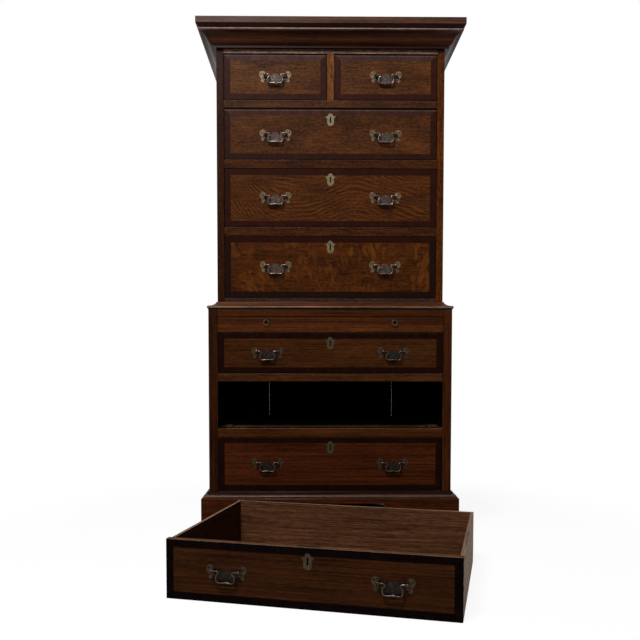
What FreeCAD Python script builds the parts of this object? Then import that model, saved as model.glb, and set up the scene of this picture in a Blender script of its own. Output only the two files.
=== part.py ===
import FreeCAD, Part
import math
import os

from FreeCAD import Placement, Rotation, Vector

# Chest on chest: a lower case on a bracket base, and a narrower upper case that stands on it inside
# a waist moulding. One long drawer is taken out of the lower case and stands on the floor in front.
#
# Frame: millimetres, +Z up, +X to the viewer's right, +Y from the front to the back. The origin is on
# the floor, under the middle of the lower case's front. Y = 0 is the plane of the lower drawer fronts.

# ---- driving dimensions: cases -----------------------------------------------------------------

LOW_WIDTH = 874.0        # lower case, outside
WAIST_STEP = 30.0        # the upper case stands back by this at the front and both sides
CASE_DEPTH = 612.0       # from the lower front to the back of both cases
SIDE_T = 20.0            # solid case sides
STILE_T = 22.0           # thickness of the stiles, front to back
LOW_STILE = 33.0         # width of the lower stiles
UP_STILE = 26.0          # width of the upper stiles
MID_STILE = 27.0         # stile between the two short drawers
RAIL_DEPTH = 60.0        # front to back
BACK_T = 12.0            # upright back boards
BOARD_T = 18.0           # top and bottom boards of each case

# Heights, from the floor up.
BASE_H = 150.0           # bracket base
LOW_FOOT_RAIL = 26.5
BOTTOM_OPEN = 198.0      # bottom drawer's opening
BOTTOM_RAIL = 30.5
MIDDLE_OPEN = 168.5      # opening of the drawer that is taken out
MIDDLE_RAIL = 28.5
TOP_OPEN = 148.5         # lower case's top drawer
SLIDE_RAIL = 25.5
SLIDE_OPEN = 30.5        # brushing slide
LOW_TOP_RAIL = 28.5
UP_FOOT_RAIL = 40.0      # its lower part hides behind the waist moulding
UP_BOTTOM_OPEN = 221.5
UP_BOTTOM_RAIL = 31.5
UP_MIDDLE_OPEN = 208.5
UP_MIDDLE_RAIL = 30.5
UP_TOP_OPEN = 181.5
UP_TOP_RAIL = 28.5
SHORT_OPEN = 162.5       # the two short drawers
UP_HEAD_RAIL = 90.0      # its upper part hides behind the cornice

# ---- driving dimensions: runners, dust boards and back boards -----------------------------------

RUNNER_T = 16.0
RUNNER_W = 55.0
DUST_T = 8.0
DUST_DROP = 4.0          # dust boards lie this far under the top of the runners
GUIDE_H = 18.0
PARTITION_T = 16.0       # board between the short drawers
BACK_PITCH = 179.0       # width of one back board with its joint
LEFT_JOINT = 0.8         # outer joints between back boards, which have shrunk apart
RIGHT_JOINT = 1.35
TIGHT_JOINT = 0.03

# ---- driving dimensions: drawers -----------------------------------------------------------------

DRAWER_STOP = 15.0       # space between the drawers and the back boards
SIDE_GAP = 1.2           # beside a drawer, each side
TOP_GAP = 1.7            # above a drawer
RUN_GAP = 0.3            # under a drawer
FRONT_T = 20.0
BAND_W = 22.0            # mahogany crossbanding
BAND_T = 2.0
WALL_T = 10.0            # drawer sides and back
WALL_DROP = 5.0          # sides and back stand this much lower than the front
FLOOR_T = 8.0            # drawer bottom
FLOOR_Z = 6.0
GROOVE = 4.0             # depth of the groove that holds the drawer bottom
LAP = 6.0                # wood left in front of the lapped dovetails
TAIL_PITCH = 46.0        # one dovetail about every so much
TAIL_SHARE = 0.62        # tail width at its root, as a share of the spacing
TAIL_FLARE = 2.4         # a tail widens by this on each side

# The drawer on the floor: the middle of its front, and its turn about the vertical.
LOOSE_X = -77.0
LOOSE_Y = -757.0
LOOSE_TURN = 14.4

# ---- driving dimensions: brasses -----------------------------------------------------------------

POST_SPACING = 76.2      # three inches between the posts of one handle
LONG_HANDLE_X = 226.0    # handles of the lower drawers, from the middle
UP_HANDLE_X = 197.0
HANDLE_RISE = 6.5        # the posts stand this far over the middle of the front
TOP_HANDLE_RISE = 1.5    # the same on the long drawer under the two short ones
PLATE_T = 1.5
POST_REACH = 13.0        # pivot in front of the drawer front
KNOB_R = 5.2
POST_R = 2.6
COLLAR_R = 4.6
SHANK_R = 2.2
NUT = 10.0
NUT_T = 4.0
BAIL_R = 2.3             # thickness of the bail's wire, as a radius
PIN_GAP = 0.06           # radial clearance of the bail in its posts
PIN_END = 3.4            # the bail ends this far beyond the middle of the knob
SHANK_GAP = 0.1
SCUTCHEON_DROP = 37.0    # middle of the escutcheon under the drawer's top edge
SCUTCHEON_T = 1.2
PIN_R = 1.2              # holes for the escutcheon pins, this far over its middle
PIN_RISE = (16.0, -18.5)
KEY_R = 3.2              # round head of the keyhole
KEY_SLOT = 4.4           # width of the slot under it
LOCK_W = 64.0
LOCK_H = 54.0
LOCK_T = 12.0
BOLT_W = 24.0
BOLT_T = 5.0
BOLT_H = 30.0
BOLT_GAP = 0.3
BOLT_THROW = 6.0
RING_X = 230.0           # ring pulls of the slide, from the middle
RING_R = 9.5             # middle line of the ring
RING_WIRE = 1.5
RING_REACH = 7.0
EYE_T = 3.0
EYE_R = 4.2
EYE_GAP = 0.2

# ---- driving dimensions: mouldings and base --------------------------------------------------------

CORNICE_H = 87.0
CORNICE_OUT = 64.5
CORNICE_DROP = 74.0      # the cornice starts this far under the top of the upper case
CORNICE_FOOT = 12.0      # lowest fillet, out from the case
FASCIA_H = 21.5
WAIST_OUT = 4.5          # nose of the waist moulding, outside the lower case
WAIST_H = 25.0
BASE_OUT = 26.5          # base moulding and bracket base, outside the lower case
BASE_MOULD_H = 26.0
BRACKET_T = 26.0
BRACKET_W = 268.0        # from a corner to the cut-out between the feet
FOOT_W = 150.0           # a foot where it meets the floor
APRON = 15.0             # strip that stays above the cut-out
CUSP = 15.0
CUSP_IN = 11.0
FOOT_RISE = 30.0         # the foot's upright inner edge
BLOCK = 44.0             # corner blocks behind the brackets
BLOCK_LIFT = 1.0

# ---- driving dimensions: brushing slide -------------------------------------------------------------

SLIDE_T = 18.0
SLIDE_EDGE = 20.0        # front edge strip, front to back
SLIDE_STOP = 40.0        # space behind it

# ---- worked out from them ----------------------------------------------------------------------------

UP_FRONT = WAIST_STEP
UP_WIDTH = LOW_WIDTH - 2 * WAIST_STEP
BACK_Y = CASE_DEPTH - BACK_T                 # front of the back boards
DRAWER_BACK_Y = BACK_Y - DRAWER_STOP
SLIDE_BACK_Y = BACK_Y - SLIDE_STOP
LOW_OPEN_X = LOW_WIDTH / 2 - LOW_STILE       # half the width of a long opening
UP_OPEN_X = UP_WIDTH / 2 - UP_STILE
LOW_IN_X = LOW_WIDTH / 2 - SIDE_T            # inside of the lower sides
UP_IN_X = UP_WIDTH / 2 - SIDE_T

BOTTOM_Z = BASE_H + LOW_FOOT_RAIL
MIDDLE_Z = BOTTOM_Z + BOTTOM_OPEN + BOTTOM_RAIL
TOP_Z = MIDDLE_Z + MIDDLE_OPEN + MIDDLE_RAIL
SLIDE_Z = TOP_Z + TOP_OPEN + SLIDE_RAIL
LOW_TOP = SLIDE_Z + SLIDE_OPEN + LOW_TOP_RAIL
UP_BOTTOM_Z = LOW_TOP + UP_FOOT_RAIL
UP_MIDDLE_Z = UP_BOTTOM_Z + UP_BOTTOM_OPEN + UP_BOTTOM_RAIL
UP_TOP_Z = UP_MIDDLE_Z + UP_MIDDLE_OPEN + UP_MIDDLE_RAIL
SHORT_Z = UP_TOP_Z + UP_TOP_OPEN + UP_TOP_RAIL
UP_TOP = SHORT_Z + SHORT_OPEN + UP_HEAD_RAIL
SHORT_OPEN_W = UP_OPEN_X - MID_STILE / 2
SHORT_X = (UP_OPEN_X + MID_STILE / 2) / 2    # middle of a short opening


# ---- helpers -------------------------------------------------------------------------------------------

def board(x0, x1, y0, y1, z0, z1):
    """A plain board between two opposite corners."""
    return Part.makeBox(x1 - x0, y1 - y0, z1 - z0, Vector(x0, y0, z0))


def mirrored(shape):
    """The same piece on the other side of the middle plane X = 0."""
    return shape.mirror(Vector(0, 0, 0), Vector(1, 0, 0))


def pair(shape):
    return [shape, mirrored(shape)]


def rod(radius, start, end):
    """A round bar between two points."""
    axis = end - start
    return Part.makeCylinder(radius, axis.Length, start, axis)


def outline(steps):
    """Closed wire from a list of points; a step of two points is an arc through the first to the second."""
    edges = []
    here = steps[0]
    for step in steps[1:] + [steps[0]]:
        if isinstance(step, tuple):
            via, end = step
            edges.append(Part.Arc(here, via, end).toShape())
        else:
            end = step
            if (end - here).Length < 1e-6:
                continue
            edges.append(Part.LineSegment(here, end).toShape())
        here = end
    return Part.Wire(edges)


def prism(steps, way):
    """A solid from a closed outline, pushed along a vector."""
    return Part.Face(outline(steps)).extrude(way)


def save(name, solids):
    """One STEP file per node, holding its separate solids."""
    for solid in solids:
        assert solid.isValid() and solid.Volume > 0, name
    Part.makeCompound(solids).exportStep(os.path.join("parts", name + ".step"))


def frame_moulding(section, half_width, front, back):
    """Front length and two returns of a moulding, mitred at the front corners.

    The section is a list of steps in (out, z): out is the distance outside the case's front or side.
    """
    reach = 3 * CORNICE_OUT + half_width

    def place(point, make):
        if isinstance(point, tuple):
            return tuple(make(p) for p in point)
        return make(point)

    across = [place(p, lambda q: Vector(-reach, front - q.x, q.y)) for p in section]
    front_piece = prism(across, Vector(2 * reach, 0, 0))
    along = [place(p, lambda q: Vector(half_width + q.x, front - reach, q.y)) for p in section]
    side_piece = prism(along, Vector(0, back - front + reach, 0))
    # The mitres run through the case's front corners at 45 degrees.
    inner = WAIST_STEP + 1
    corner_out = Vector(half_width + reach, front - reach, 0)
    corner_in = Vector(half_width - inner, front + inner, 0)
    wedge_front = prism([
        Vector(-corner_out.x, corner_out.y, 0), corner_out, corner_in, Vector(-corner_in.x, corner_in.y, 0),
    ], Vector(0, 0, UP_TOP + CORNICE_H))
    wedge_side = prism([
        corner_out, Vector(corner_out.x, back, 0), Vector(corner_in.x, back, 0), corner_in,
    ], Vector(0, 0, UP_TOP + CORNICE_H))
    return [front_piece.common(wedge_front).Solids[0]] + pair(side_piece.common(wedge_side).Solids[0])


# ---- bracket base and mouldings ------------------------------------------------------------------------

def bracket_profile(half_length, rear_foot):
    """Board with a cut-out, as steps in (along, z): a foot at +half_length, another at -half_length.

    Each foot rises in a double curve to a small cusp under the apron; rear_foot is the width of the
    bracket at the far end.
    """
    apron_z = BASE_H - APRON

    def foot(width, foot_width):
        start = Vector(half_length - foot_width, FOOT_RISE)
        tip = Vector(half_length - width + CUSP_IN, apron_z - CUSP)
        middle = (start + tip) * 0.5
        normal = Vector(tip.y - start.y, start.x - tip.x)
        normal.normalize()
        bulge = normal * 9.0
        return [
            Vector(half_length, 0),
            Vector(half_length - foot_width, 0),
            start,
            ((start + middle) * 0.5 - bulge, middle),
            ((middle + tip) * 0.5 + bulge, tip),
            Vector(half_length - width, apron_z - CUSP),
            Vector(half_length - width, apron_z),
        ]

    def flipped(steps):
        """The same foot at the other end, walked the other way round."""
        points = []
        for i in range(len(steps) - 1, -1, -1):
            end = steps[i][1] if isinstance(steps[i], tuple) else steps[i]
            if i < len(steps) - 1 and isinstance(steps[i + 1], tuple):
                via = steps[i + 1][0]
                points.append((Vector(-via.x, via.y), Vector(-end.x, end.y)))
            else:
                points.append(Vector(-end.x, end.y))
        return points

    near = foot(BRACKET_W, FOOT_W)
    far = foot(rear_foot, rear_foot * FOOT_W / BRACKET_W)
    return near + flipped(far) + [Vector(-half_length, BASE_H), Vector(half_length, BASE_H)]


def bracket_base():
    """Three mitred bracket boards, two plain back brackets and the blocks behind them."""
    out_x = LOW_WIDTH / 2 + BASE_OUT
    steps = bracket_profile(out_x, BRACKET_W)

    def swap(step, make):
        if isinstance(step, tuple):
            return tuple(make(p) for p in step)
        return make(step)

    front = prism([swap(s, lambda p: Vector(p.x, -BASE_OUT, p.y)) for s in steps], Vector(0, BRACKET_T, 0))
    half_depth = (CASE_DEPTH + BASE_OUT) / 2
    middle_y = half_depth - BASE_OUT
    side_steps = bracket_profile(half_depth, BRACKET_W * 0.8)
    side = prism([swap(s, lambda p: Vector(out_x - BRACKET_T, middle_y - p.x, p.y)) for s in side_steps],
                 Vector(BRACKET_T, 0, 0))
    # Mitre: the front keeps what lies in front of the 45 degree planes, the sides what lies behind.
    wide = 2 * out_x
    keep = Part.Face(Part.makePolygon([
        Vector(-out_x, -BASE_OUT, 0), Vector(out_x, -BASE_OUT, 0), Vector(0, out_x - BASE_OUT, 0),
        Vector(-out_x, -BASE_OUT, 0)])).extrude(Vector(0, 0, wide))
    front = front.common(keep)
    side = side.cut(keep)
    solids = front.Solids + pair(side.Solids[0])
    inner_x = out_x - BRACKET_T
    inner_y = BRACKET_T - BASE_OUT
    rear = CASE_DEPTH - BACK_T - BOARD_T
    back_bracket = board(inner_x - FOOT_W, inner_x, rear, rear + BOARD_T, 0, BASE_H)
    solids += pair(back_bracket)
    corner = board(inner_x - BLOCK, inner_x, inner_y, inner_y + BLOCK, BLOCK_LIFT, BASE_H)
    rear_corner = board(inner_x - BLOCK, inner_x, rear - BLOCK, rear, BLOCK_LIFT, BASE_H)
    apron_z = BASE_H - APRON
    front_block = board(inner_x - FOOT_W, inner_x - BLOCK, inner_y, inner_y + BLOCK / 2, apron_z - BLOCK / 2, BASE_H)
    side_block = board(inner_x - BLOCK / 2, inner_x, inner_y + BLOCK, FOOT_W, apron_z - BLOCK / 2, BASE_H)
    for block in (corner, rear_corner, front_block, side_block):
        solids += pair(block)
    return solids


def base_moulding():
    """From the floor side up: rounded nose, fillet, ovolo, and a small bead against the case."""
    low = BASE_H
    high = BASE_H + BASE_MOULD_H
    section = [
        Vector(0, low),
        Vector(BASE_OUT, low),
        (Vector(BASE_OUT - 0.9, low + 3.4), Vector(BASE_OUT - 4.0, low + 5.0)),
        Vector(BASE_OUT - 6.5, low + 5.0),
        Vector(BASE_OUT - 6.5, low + 8.0),
        (Vector(BASE_OUT - 9.6, low + 13.6), Vector(BASE_OUT - 16.0, low + 16.0)),
        Vector(BASE_OUT - 20.0, low + 16.0),
        Vector(BASE_OUT - 20.0, high - 6.5),
        (Vector(BASE_OUT - 19.4, high - 2.4), Vector(BASE_OUT - 22.5, high)),
        Vector(0, high),
    ]
    return frame_moulding(section, LOW_WIDTH / 2, 0, CASE_DEPTH)


def waist_moulding():
    """Sits on the rim of the lower case, around the foot of the upper one."""
    section = [
        Vector(-WAIST_STEP, LOW_TOP),
        Vector(-WAIST_STEP, LOW_TOP + WAIST_H),
        Vector(-WAIST_STEP + 4.0, LOW_TOP + WAIST_H),
        Vector(-WAIST_STEP + 5.0, LOW_TOP + WAIST_H - 4.0),
        (Vector(-WAIST_STEP / 2, LOW_TOP + WAIST_H * 0.55), Vector(0, LOW_TOP + 10.0)),
        (Vector(WAIST_OUT, LOW_TOP + 5.5), Vector(WAIST_OUT - 2.0, LOW_TOP + 0.5)),
        (Vector(1.4, LOW_TOP - 1.2), Vector(0, LOW_TOP - 3.5)),
        Vector(0, LOW_TOP),
    ]
    return frame_moulding(section, LOW_WIDTH / 2, 0, CASE_DEPTH)


def cornice():
    """Fillet, cyma, bead, sloping soffit and fascia, around the head of the upper case."""
    low = UP_TOP - CORNICE_DROP
    high = low + CORNICE_H
    foot = CORNICE_FOOT
    bead = CORNICE_OUT - 10.5
    section = [
        Vector(0, low),
        Vector(foot, low),
        Vector(foot, low + 7),
        Vector(foot + 2, low + 8),
        (Vector(foot + 11, low + 15), Vector(foot + 17.5, low + 24.5)),
        (Vector(foot + 25.4, low + 36.8), Vector(bead - 4.5, low + 44.8)),
        Vector(bead, low + 45.2),
        (Vector(bead + 3.6, low + 48.8), Vector(bead, low + 52.4)),
        Vector(bead + 1, low + 54),
        Vector(CORNICE_OUT, high - FASCIA_H),
        Vector(CORNICE_OUT, high),
        Vector(0, high),
    ]
    return frame_moulding(section, UP_WIDTH / 2, UP_FRONT, CASE_DEPTH)


# ---- cases -----------------------------------------------------------------------------------------------

def case_sides(half_width, front, low, high):
    side = board(half_width - SIDE_T, half_width, front + STILE_T, CASE_DEPTH, low, high)
    return pair(side)


def rail(half_open, half_inside, front, low, high):
    """A front rail: between the stiles in front, and out to the case sides behind them."""
    nose = board(-half_open, half_open, front, front + STILE_T, low, high)
    body = board(-half_inside, half_inside, front + STILE_T, front + RAIL_DEPTH, low, high)
    return nose.fuse(body).removeSplitter()


def bolt_mortise(front, z):
    """Hollow in the underside of a rail that takes a lock bolt; z is the rail's underside."""
    half = BOLT_W / 2 + 2.0
    bolt_y = front + FRONT_T - LOCK_T / 2
    deep = BOLT_T / 2 + 1.5
    return board(-half, half, bolt_y - deep, bolt_y + deep, z - 1, z + BOLT_THROW + 2)


def lower_face_frame():
    half = LOW_WIDTH / 2
    stile = board(half - LOW_STILE, half, 0, STILE_T, BASE_H, LOW_TOP)
    levels = [
        (BASE_H, BOTTOM_Z),
        (MIDDLE_Z - BOTTOM_RAIL, MIDDLE_Z),
        (TOP_Z - MIDDLE_RAIL, TOP_Z),
        (SLIDE_Z - SLIDE_RAIL, SLIDE_Z),
        (SLIDE_Z + SLIDE_OPEN, LOW_TOP),
    ]
    solids = pair(stile)
    for low, high in levels:
        piece = rail(LOW_OPEN_X, LOW_IN_X, 0, low, high)
        if low in (levels[1][0], levels[2][0], levels[3][0]):
            piece = piece.cut(bolt_mortise(0, low))
        solids.append(piece.Solids[0])
    return solids


def upper_face_frame():
    half = UP_WIDTH / 2
    stile = board(half - UP_STILE, half, UP_FRONT, UP_FRONT + STILE_T, LOW_TOP, UP_TOP)
    middle = board(-MID_STILE / 2, MID_STILE / 2, UP_FRONT, UP_FRONT + STILE_T, SHORT_Z, SHORT_Z + SHORT_OPEN)
    levels = [
        (LOW_TOP, UP_BOTTOM_Z),
        (UP_MIDDLE_Z - UP_BOTTOM_RAIL, UP_MIDDLE_Z),
        (UP_TOP_Z - UP_MIDDLE_RAIL, UP_TOP_Z),
        (SHORT_Z - UP_TOP_RAIL, SHORT_Z),
        (SHORT_Z + SHORT_OPEN, UP_TOP),
    ]
    solids = pair(stile) + [middle]
    for low, high in levels:
        piece = rail(UP_OPEN_X, UP_IN_X, UP_FRONT, low, high)
        if low in (levels[1][0], levels[2][0], levels[3][0]):
            piece = piece.cut(bolt_mortise(UP_FRONT, low))
        solids.append(piece.Solids[0])
    return solids


def runner_level(half_inside, half_open, front, z, guides=True):
    """Two runners, the dust board between them and two drawer guides, behind a rail whose top is at z."""
    y0 = front + RAIL_DEPTH
    runner = board(half_inside - RUNNER_W, half_inside, y0, BACK_Y, z - RUNNER_T, z)
    half_dust = half_inside - RUNNER_W
    dust = board(-half_dust, half_dust, y0, BACK_Y, z - DUST_DROP - DUST_T, z - DUST_DROP)
    solids = pair(runner) + [dust]
    if guides:
        solids += drawer_guides(half_inside, half_open, front, z)
    return solids


def drawer_guides(half_inside, half_open, front, z):
    """Strips that fill the step between the stile and the case side, at the foot of a drawer."""
    return pair(board(half_open, half_inside, front + STILE_T, BACK_Y, z, z + GUIDE_H))


def lower_inner_boards():
    y0 = RAIL_DEPTH
    solids = [
        board(-LOW_IN_X, LOW_IN_X, y0, BACK_Y, BOTTOM_Z - BOARD_T, BOTTOM_Z),
        board(-LOW_IN_X, LOW_IN_X, y0, BACK_Y, LOW_TOP - BOARD_T, LOW_TOP),
    ]
    solids += drawer_guides(LOW_IN_X, LOW_OPEN_X, 0, BOTTOM_Z)
    for z in (MIDDLE_Z, TOP_Z):
        solids += runner_level(LOW_IN_X, LOW_OPEN_X, 0, z)
    # The slide has bearers on its dust board's runners, up to the underside of its board.
    solids += runner_level(LOW_IN_X, LOW_OPEN_X, 0, SLIDE_Z, guides=False)
    bearer_top = SLIDE_Z + SLIDE_OPEN - TOP_GAP - SLIDE_T - RUN_GAP
    solids += pair(board(LOW_IN_X - RUNNER_W, LOW_IN_X, y0, BACK_Y, SLIDE_Z, bearer_top))
    return solids


def upper_inner_boards():
    y0 = UP_FRONT + RAIL_DEPTH
    solids = [
        board(-UP_IN_X, UP_IN_X, y0, BACK_Y, UP_BOTTOM_Z - BOARD_T, UP_BOTTOM_Z),
        board(-UP_IN_X, UP_IN_X, y0, BACK_Y, UP_TOP - BOARD_T, UP_TOP),
    ]
    solids += drawer_guides(UP_IN_X, UP_OPEN_X, UP_FRONT, UP_BOTTOM_Z)
    for z in (UP_MIDDLE_Z, UP_TOP_Z):
        solids += runner_level(UP_IN_X, UP_OPEN_X, UP_FRONT, z)
    # Under the short drawers a middle runner carries the partition between them.
    z = SHORT_Z
    runner = board(UP_IN_X - RUNNER_W, UP_IN_X, y0, BACK_Y, z - RUNNER_T, z)
    middle = board(-RUNNER_W / 2, RUNNER_W / 2, y0, BACK_Y, z - RUNNER_T, z)
    dust = board(RUNNER_W / 2, UP_IN_X - RUNNER_W, y0, BACK_Y, z - DUST_DROP - DUST_T, z - DUST_DROP)
    partition = board(-PARTITION_T / 2, PARTITION_T / 2, UP_FRONT + STILE_T, BACK_Y, z, UP_TOP - UP_HEAD_RAIL)
    guide = board(PARTITION_T / 2, MID_STILE / 2, UP_FRONT + STILE_T, BACK_Y, z, z + GUIDE_H)
    solids += pair(runner) + [middle, partition] + pair(dust) + pair(guide)
    solids += drawer_guides(UP_IN_X, UP_OPEN_X, UP_FRONT, z)
    return solids


def back_boards(half_inside, low, high):
    """Five upright boards; the outer two joints have opened, the inner two stay tight."""
    first = -1.5 * BACK_PITCH + BACK_PITCH / 12
    joints = [(first, LEFT_JOINT), (first + BACK_PITCH, TIGHT_JOINT),
              (first + 2 * BACK_PITCH, TIGHT_JOINT), (first + 3 * BACK_PITCH, RIGHT_JOINT)]
    solids = []
    left = -half_inside
    for x, gap in joints:
        solids.append(board(left, x - gap / 2, BACK_Y, CASE_DEPTH, low, high))
        left = x + gap / 2
    solids.append(board(left, half_inside, BACK_Y, CASE_DEPTH, low, high))
    return solids


# ---- drawers ---------------------------------------------------------------------------------------------

def dovetails(count, low, high, y_root, y_end, x0, x1):
    """Tails that widen from y_root to y_end, as prisms across the thickness of a drawer side."""
    pitch = (high - low) / count
    half_root = pitch * TAIL_SHARE / 2
    tails = []
    for i in range(count):
        z = low + pitch * (i + 0.5)
        corners = [
            Vector(x0, y_root, z - half_root),
            Vector(x0, y_end, z - half_root - TAIL_FLARE),
            Vector(x0, y_end, z + half_root + TAIL_FLARE),
            Vector(x0, y_root, z + half_root),
        ]
        tails.append(prism(corners, Vector(x1 - x0, 0, 0)))
    return tails


def crossbanding(half_w, height):
    """Four mitred strips of cross-grained veneer, let in around the face of the front."""
    def strip(a, b, c, d):
        return prism([Vector(p[0], 0, p[1]) for p in (a, b, c, d)], Vector(0, BAND_T, 0))

    w, h, i = half_w, height, BAND_W
    return [
        strip((-w, 0), (w, 0), (w - i, i), (i - w, i)),
        strip((w, h), (-w, h), (i - w, h - i), (w - i, h - i)),
        strip((-w, h), (-w, 0), (i - w, i), (i - w, h - i)),
        strip((w, 0), (w, h), (w - i, h - i), (w - i, i)),
    ]


def keyhole(z, y0, y1):
    """Round eye with a slot under it, cut from y0 to y1."""
    eye = rod(KEY_R, Vector(0, y0, z + 6.0), Vector(0, y1, z + 6.0))
    slot = board(-KEY_SLOT / 2, KEY_SLOT / 2, y0, y1, z - 10.0, z + 6.0)
    foot = rod(KEY_SLOT * 0.65, Vector(0, y0, z - 10.0), Vector(0, y1, z - 10.0))
    return eye.fuse([slot, foot]).removeSplitter()


def drawer_front(half_w, height, handles, post_z, locked):
    core = board(-half_w, half_w, 0, FRONT_T, 0, height)
    # The face is sunk around its edge for the crossbanding.
    sunk = board(-half_w, half_w, 0, BAND_T, 0, height)
    field = board(BAND_W - half_w, half_w - BAND_W, 0, BAND_T, BAND_W, height - BAND_W)
    cuts = [sunk.cut(field)]
    wall_top = height - WALL_DROP
    for tail in dovetails(tail_count(wall_top), 0, wall_top, FRONT_T, LAP, half_w - WALL_T, half_w):
        cuts += pair(tail)
    half_floor = half_w - WALL_T + GROOVE
    cuts.append(board(-half_floor, half_floor, FRONT_T - GROOVE, FRONT_T, FLOOR_Z, FLOOR_Z + FLOOR_T))
    for x in handles:
        for side in (-1, 1):
            at = x + side * POST_SPACING / 2
            cuts.append(rod(SHANK_R + SHANK_GAP, Vector(at, -1, post_z), Vector(at, FRONT_T + 1, post_z)))
    if locked:
        cuts.append(board(-LOCK_W / 2, LOCK_W / 2, FRONT_T - LOCK_T, FRONT_T, height - LOCK_H, height))
        cuts.append(keyhole(height - SCUTCHEON_DROP, -1, FRONT_T - LOCK_T))
    return [core.cut(cuts).Solids[0]] + crossbanding(half_w, height)


def tail_count(height):
    return max(2, round(height / TAIL_PITCH))


def drawer_box(half_w, height, depth):
    """Two sides dovetailed to the front and through the back, the back, and the grooved-in bottom."""
    wall_top = height - WALL_DROP
    count = tail_count(wall_top)
    side = board(half_w - WALL_T, half_w, FRONT_T, depth - WALL_T, 0, wall_top)
    front_tails = dovetails(count, 0, wall_top, FRONT_T, LAP, half_w - WALL_T, half_w)
    floor_top = FLOOR_Z + FLOOR_T
    back_tails = dovetails(count, floor_top, wall_top, depth - WALL_T, depth, half_w - WALL_T, half_w)
    side = side.fuse(front_tails + back_tails).removeSplitter()
    half_floor = half_w - WALL_T + GROOVE
    floor = board(-half_floor, half_floor, FRONT_T - GROOVE, depth - 2, FLOOR_Z, floor_top)
    side = side.cut(floor).Solids[0]
    back = board(-half_w, half_w, depth - WALL_T, depth, floor_top, wall_top)
    for tail in back_tails:
        back = back.cut(pair(tail))
    return pair(side) + [back.Solids[0], floor]


def rounded_path(points, radii):
    """Wire through points with tangent arcs at the inner ones."""
    edges = []
    here = points[0]
    for i in range(1, len(points) - 1):
        before = (points[i] - points[i - 1]).normalize()
        after = (points[i + 1] - points[i]).normalize()
        turn = before.getAngle(after)
        cut = radii[i - 1] * math.tan(turn / 2)
        start = points[i] - before * cut
        end = points[i] + after * cut
        inward = (after - before).normalize()
        centre = points[i] + inward * (radii[i - 1] / math.cos(turn / 2))
        via = centre + (points[i] - centre).normalize() * radii[i - 1]
        if (start - here).Length > 1e-6:
            edges.append(Part.LineSegment(here, start).toShape())
        edges.append(Part.Arc(start, via, end).toShape())
        here = end
    edges.append(Part.LineSegment(here, points[-1]).toShape())
    return Part.Wire(edges)


def bail(x, post_z):
    """Swan-neck bail: pins in the knobs, necks that turn in and out again, and a bowed grip."""
    half = POST_SPACING / 2
    y = -POST_REACH
    right = [(half + PIN_END, 0), (14.5, 0), (27.0, -14.0), (25.0, -31.6), (12.0, -31.0)]
    points = [Vector(x - px, y, post_z + pz) for px, pz in right]
    points += [Vector(x, y, post_z - 29.8)]
    points += [Vector(x + px, y, post_z + pz) for px, pz in reversed(right)]
    radii = [4.5, 8.0, 9.0, 20.0, 40.0, 20.0, 9.0, 8.0, 4.5]
    path = rounded_path(points, radii)
    start = points[0]
    profile = Part.Wire(Part.makeCircle(BAIL_R, start, Vector(1, 0, 0)))
    return path.makePipeShell([profile], True, False)


def flat_disc(radius, x, z, thick):
    return rod(radius, Vector(x, 0, z), Vector(x, -thick, z))


def both_halves(top, right, bottom, y, z):
    """Closed outline in the plane Y = y, alike on both sides of X = 0.

    The right half runs downwards; one arc over the point `top` and one under `bottom` join it to its
    mirror image. Points are (x, height above z).
    """
    def at(point, side):
        return Vector(side * point.x, y, z + point.y)

    ends = [step[1] if isinstance(step, tuple) else step for step in right]
    steps = [at(ends[0], -1), (at(top, 1), at(ends[0], 1))]
    for step in right[1:]:
        steps.append((at(step[0], 1), at(step[1], 1)))
    steps.append((at(bottom, 1), at(ends[-1], -1)))
    for i in range(len(right) - 1, 0, -1):
        steps.append((at(right[i][0], -1), at(ends[i - 1], -1)))
    return steps


def back_plate(x, z):
    """Pierced bat-wing plate, flat on the drawer front: a shield, two eyed wings and two feet."""
    right = [
        Vector(15.0, -5.0),
        (Vector(19.0, -2.0), Vector(24.0, 3.0)),
        (Vector(28.0, 3.5), Vector(32.0, 5.0)),
        (Vector(53.5, 11.0), Vector(56.5, -2.0)),
        (Vector(52.4, -8.6), Vector(46.8, -13.5)),
        (Vector(44.2, -25.5), Vector(39.0, -18.0)),
        (Vector(34.4, -16.2), Vector(30.0, -19.5)),
        (Vector(20.5, -27.6), Vector(9.0, -28.8)),
    ]
    plate = prism(both_halves(Vector(0, 6.0), right, Vector(0, -31.0), 0, 0), Vector(0, -PLATE_T, 0))
    holes = []
    for side in (-1, 1):
        holes.append(flat_disc(2.6, side * 50.5, 4.5, PLATE_T))
        holes.append(prism([
            Vector(side * 24.5, 0, -4.5),
            (Vector(side * 30.5, 0, -7.0), Vector(side * 36.0, 0, -7.5)),
            (Vector(side * 34.0, 0, -12.5), Vector(side * 29.0, 0, -15.0)),
            (Vector(side * 25.5, 0, -10.5), Vector(side * 24.5, 0, -4.5)),
        ], Vector(0, -PLATE_T, 0)))
        holes.append(flat_disc(2.3, side * 43.5, -10.5, PLATE_T))
        shank_x = side * POST_SPACING / 2
        holes.append(flat_disc(SHANK_R + SHANK_GAP, shank_x, 0, PLATE_T))
    plate = plate.cut(holes)
    plate.translate(Vector(x, 0, z))
    return plate.Solids[0]


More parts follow.
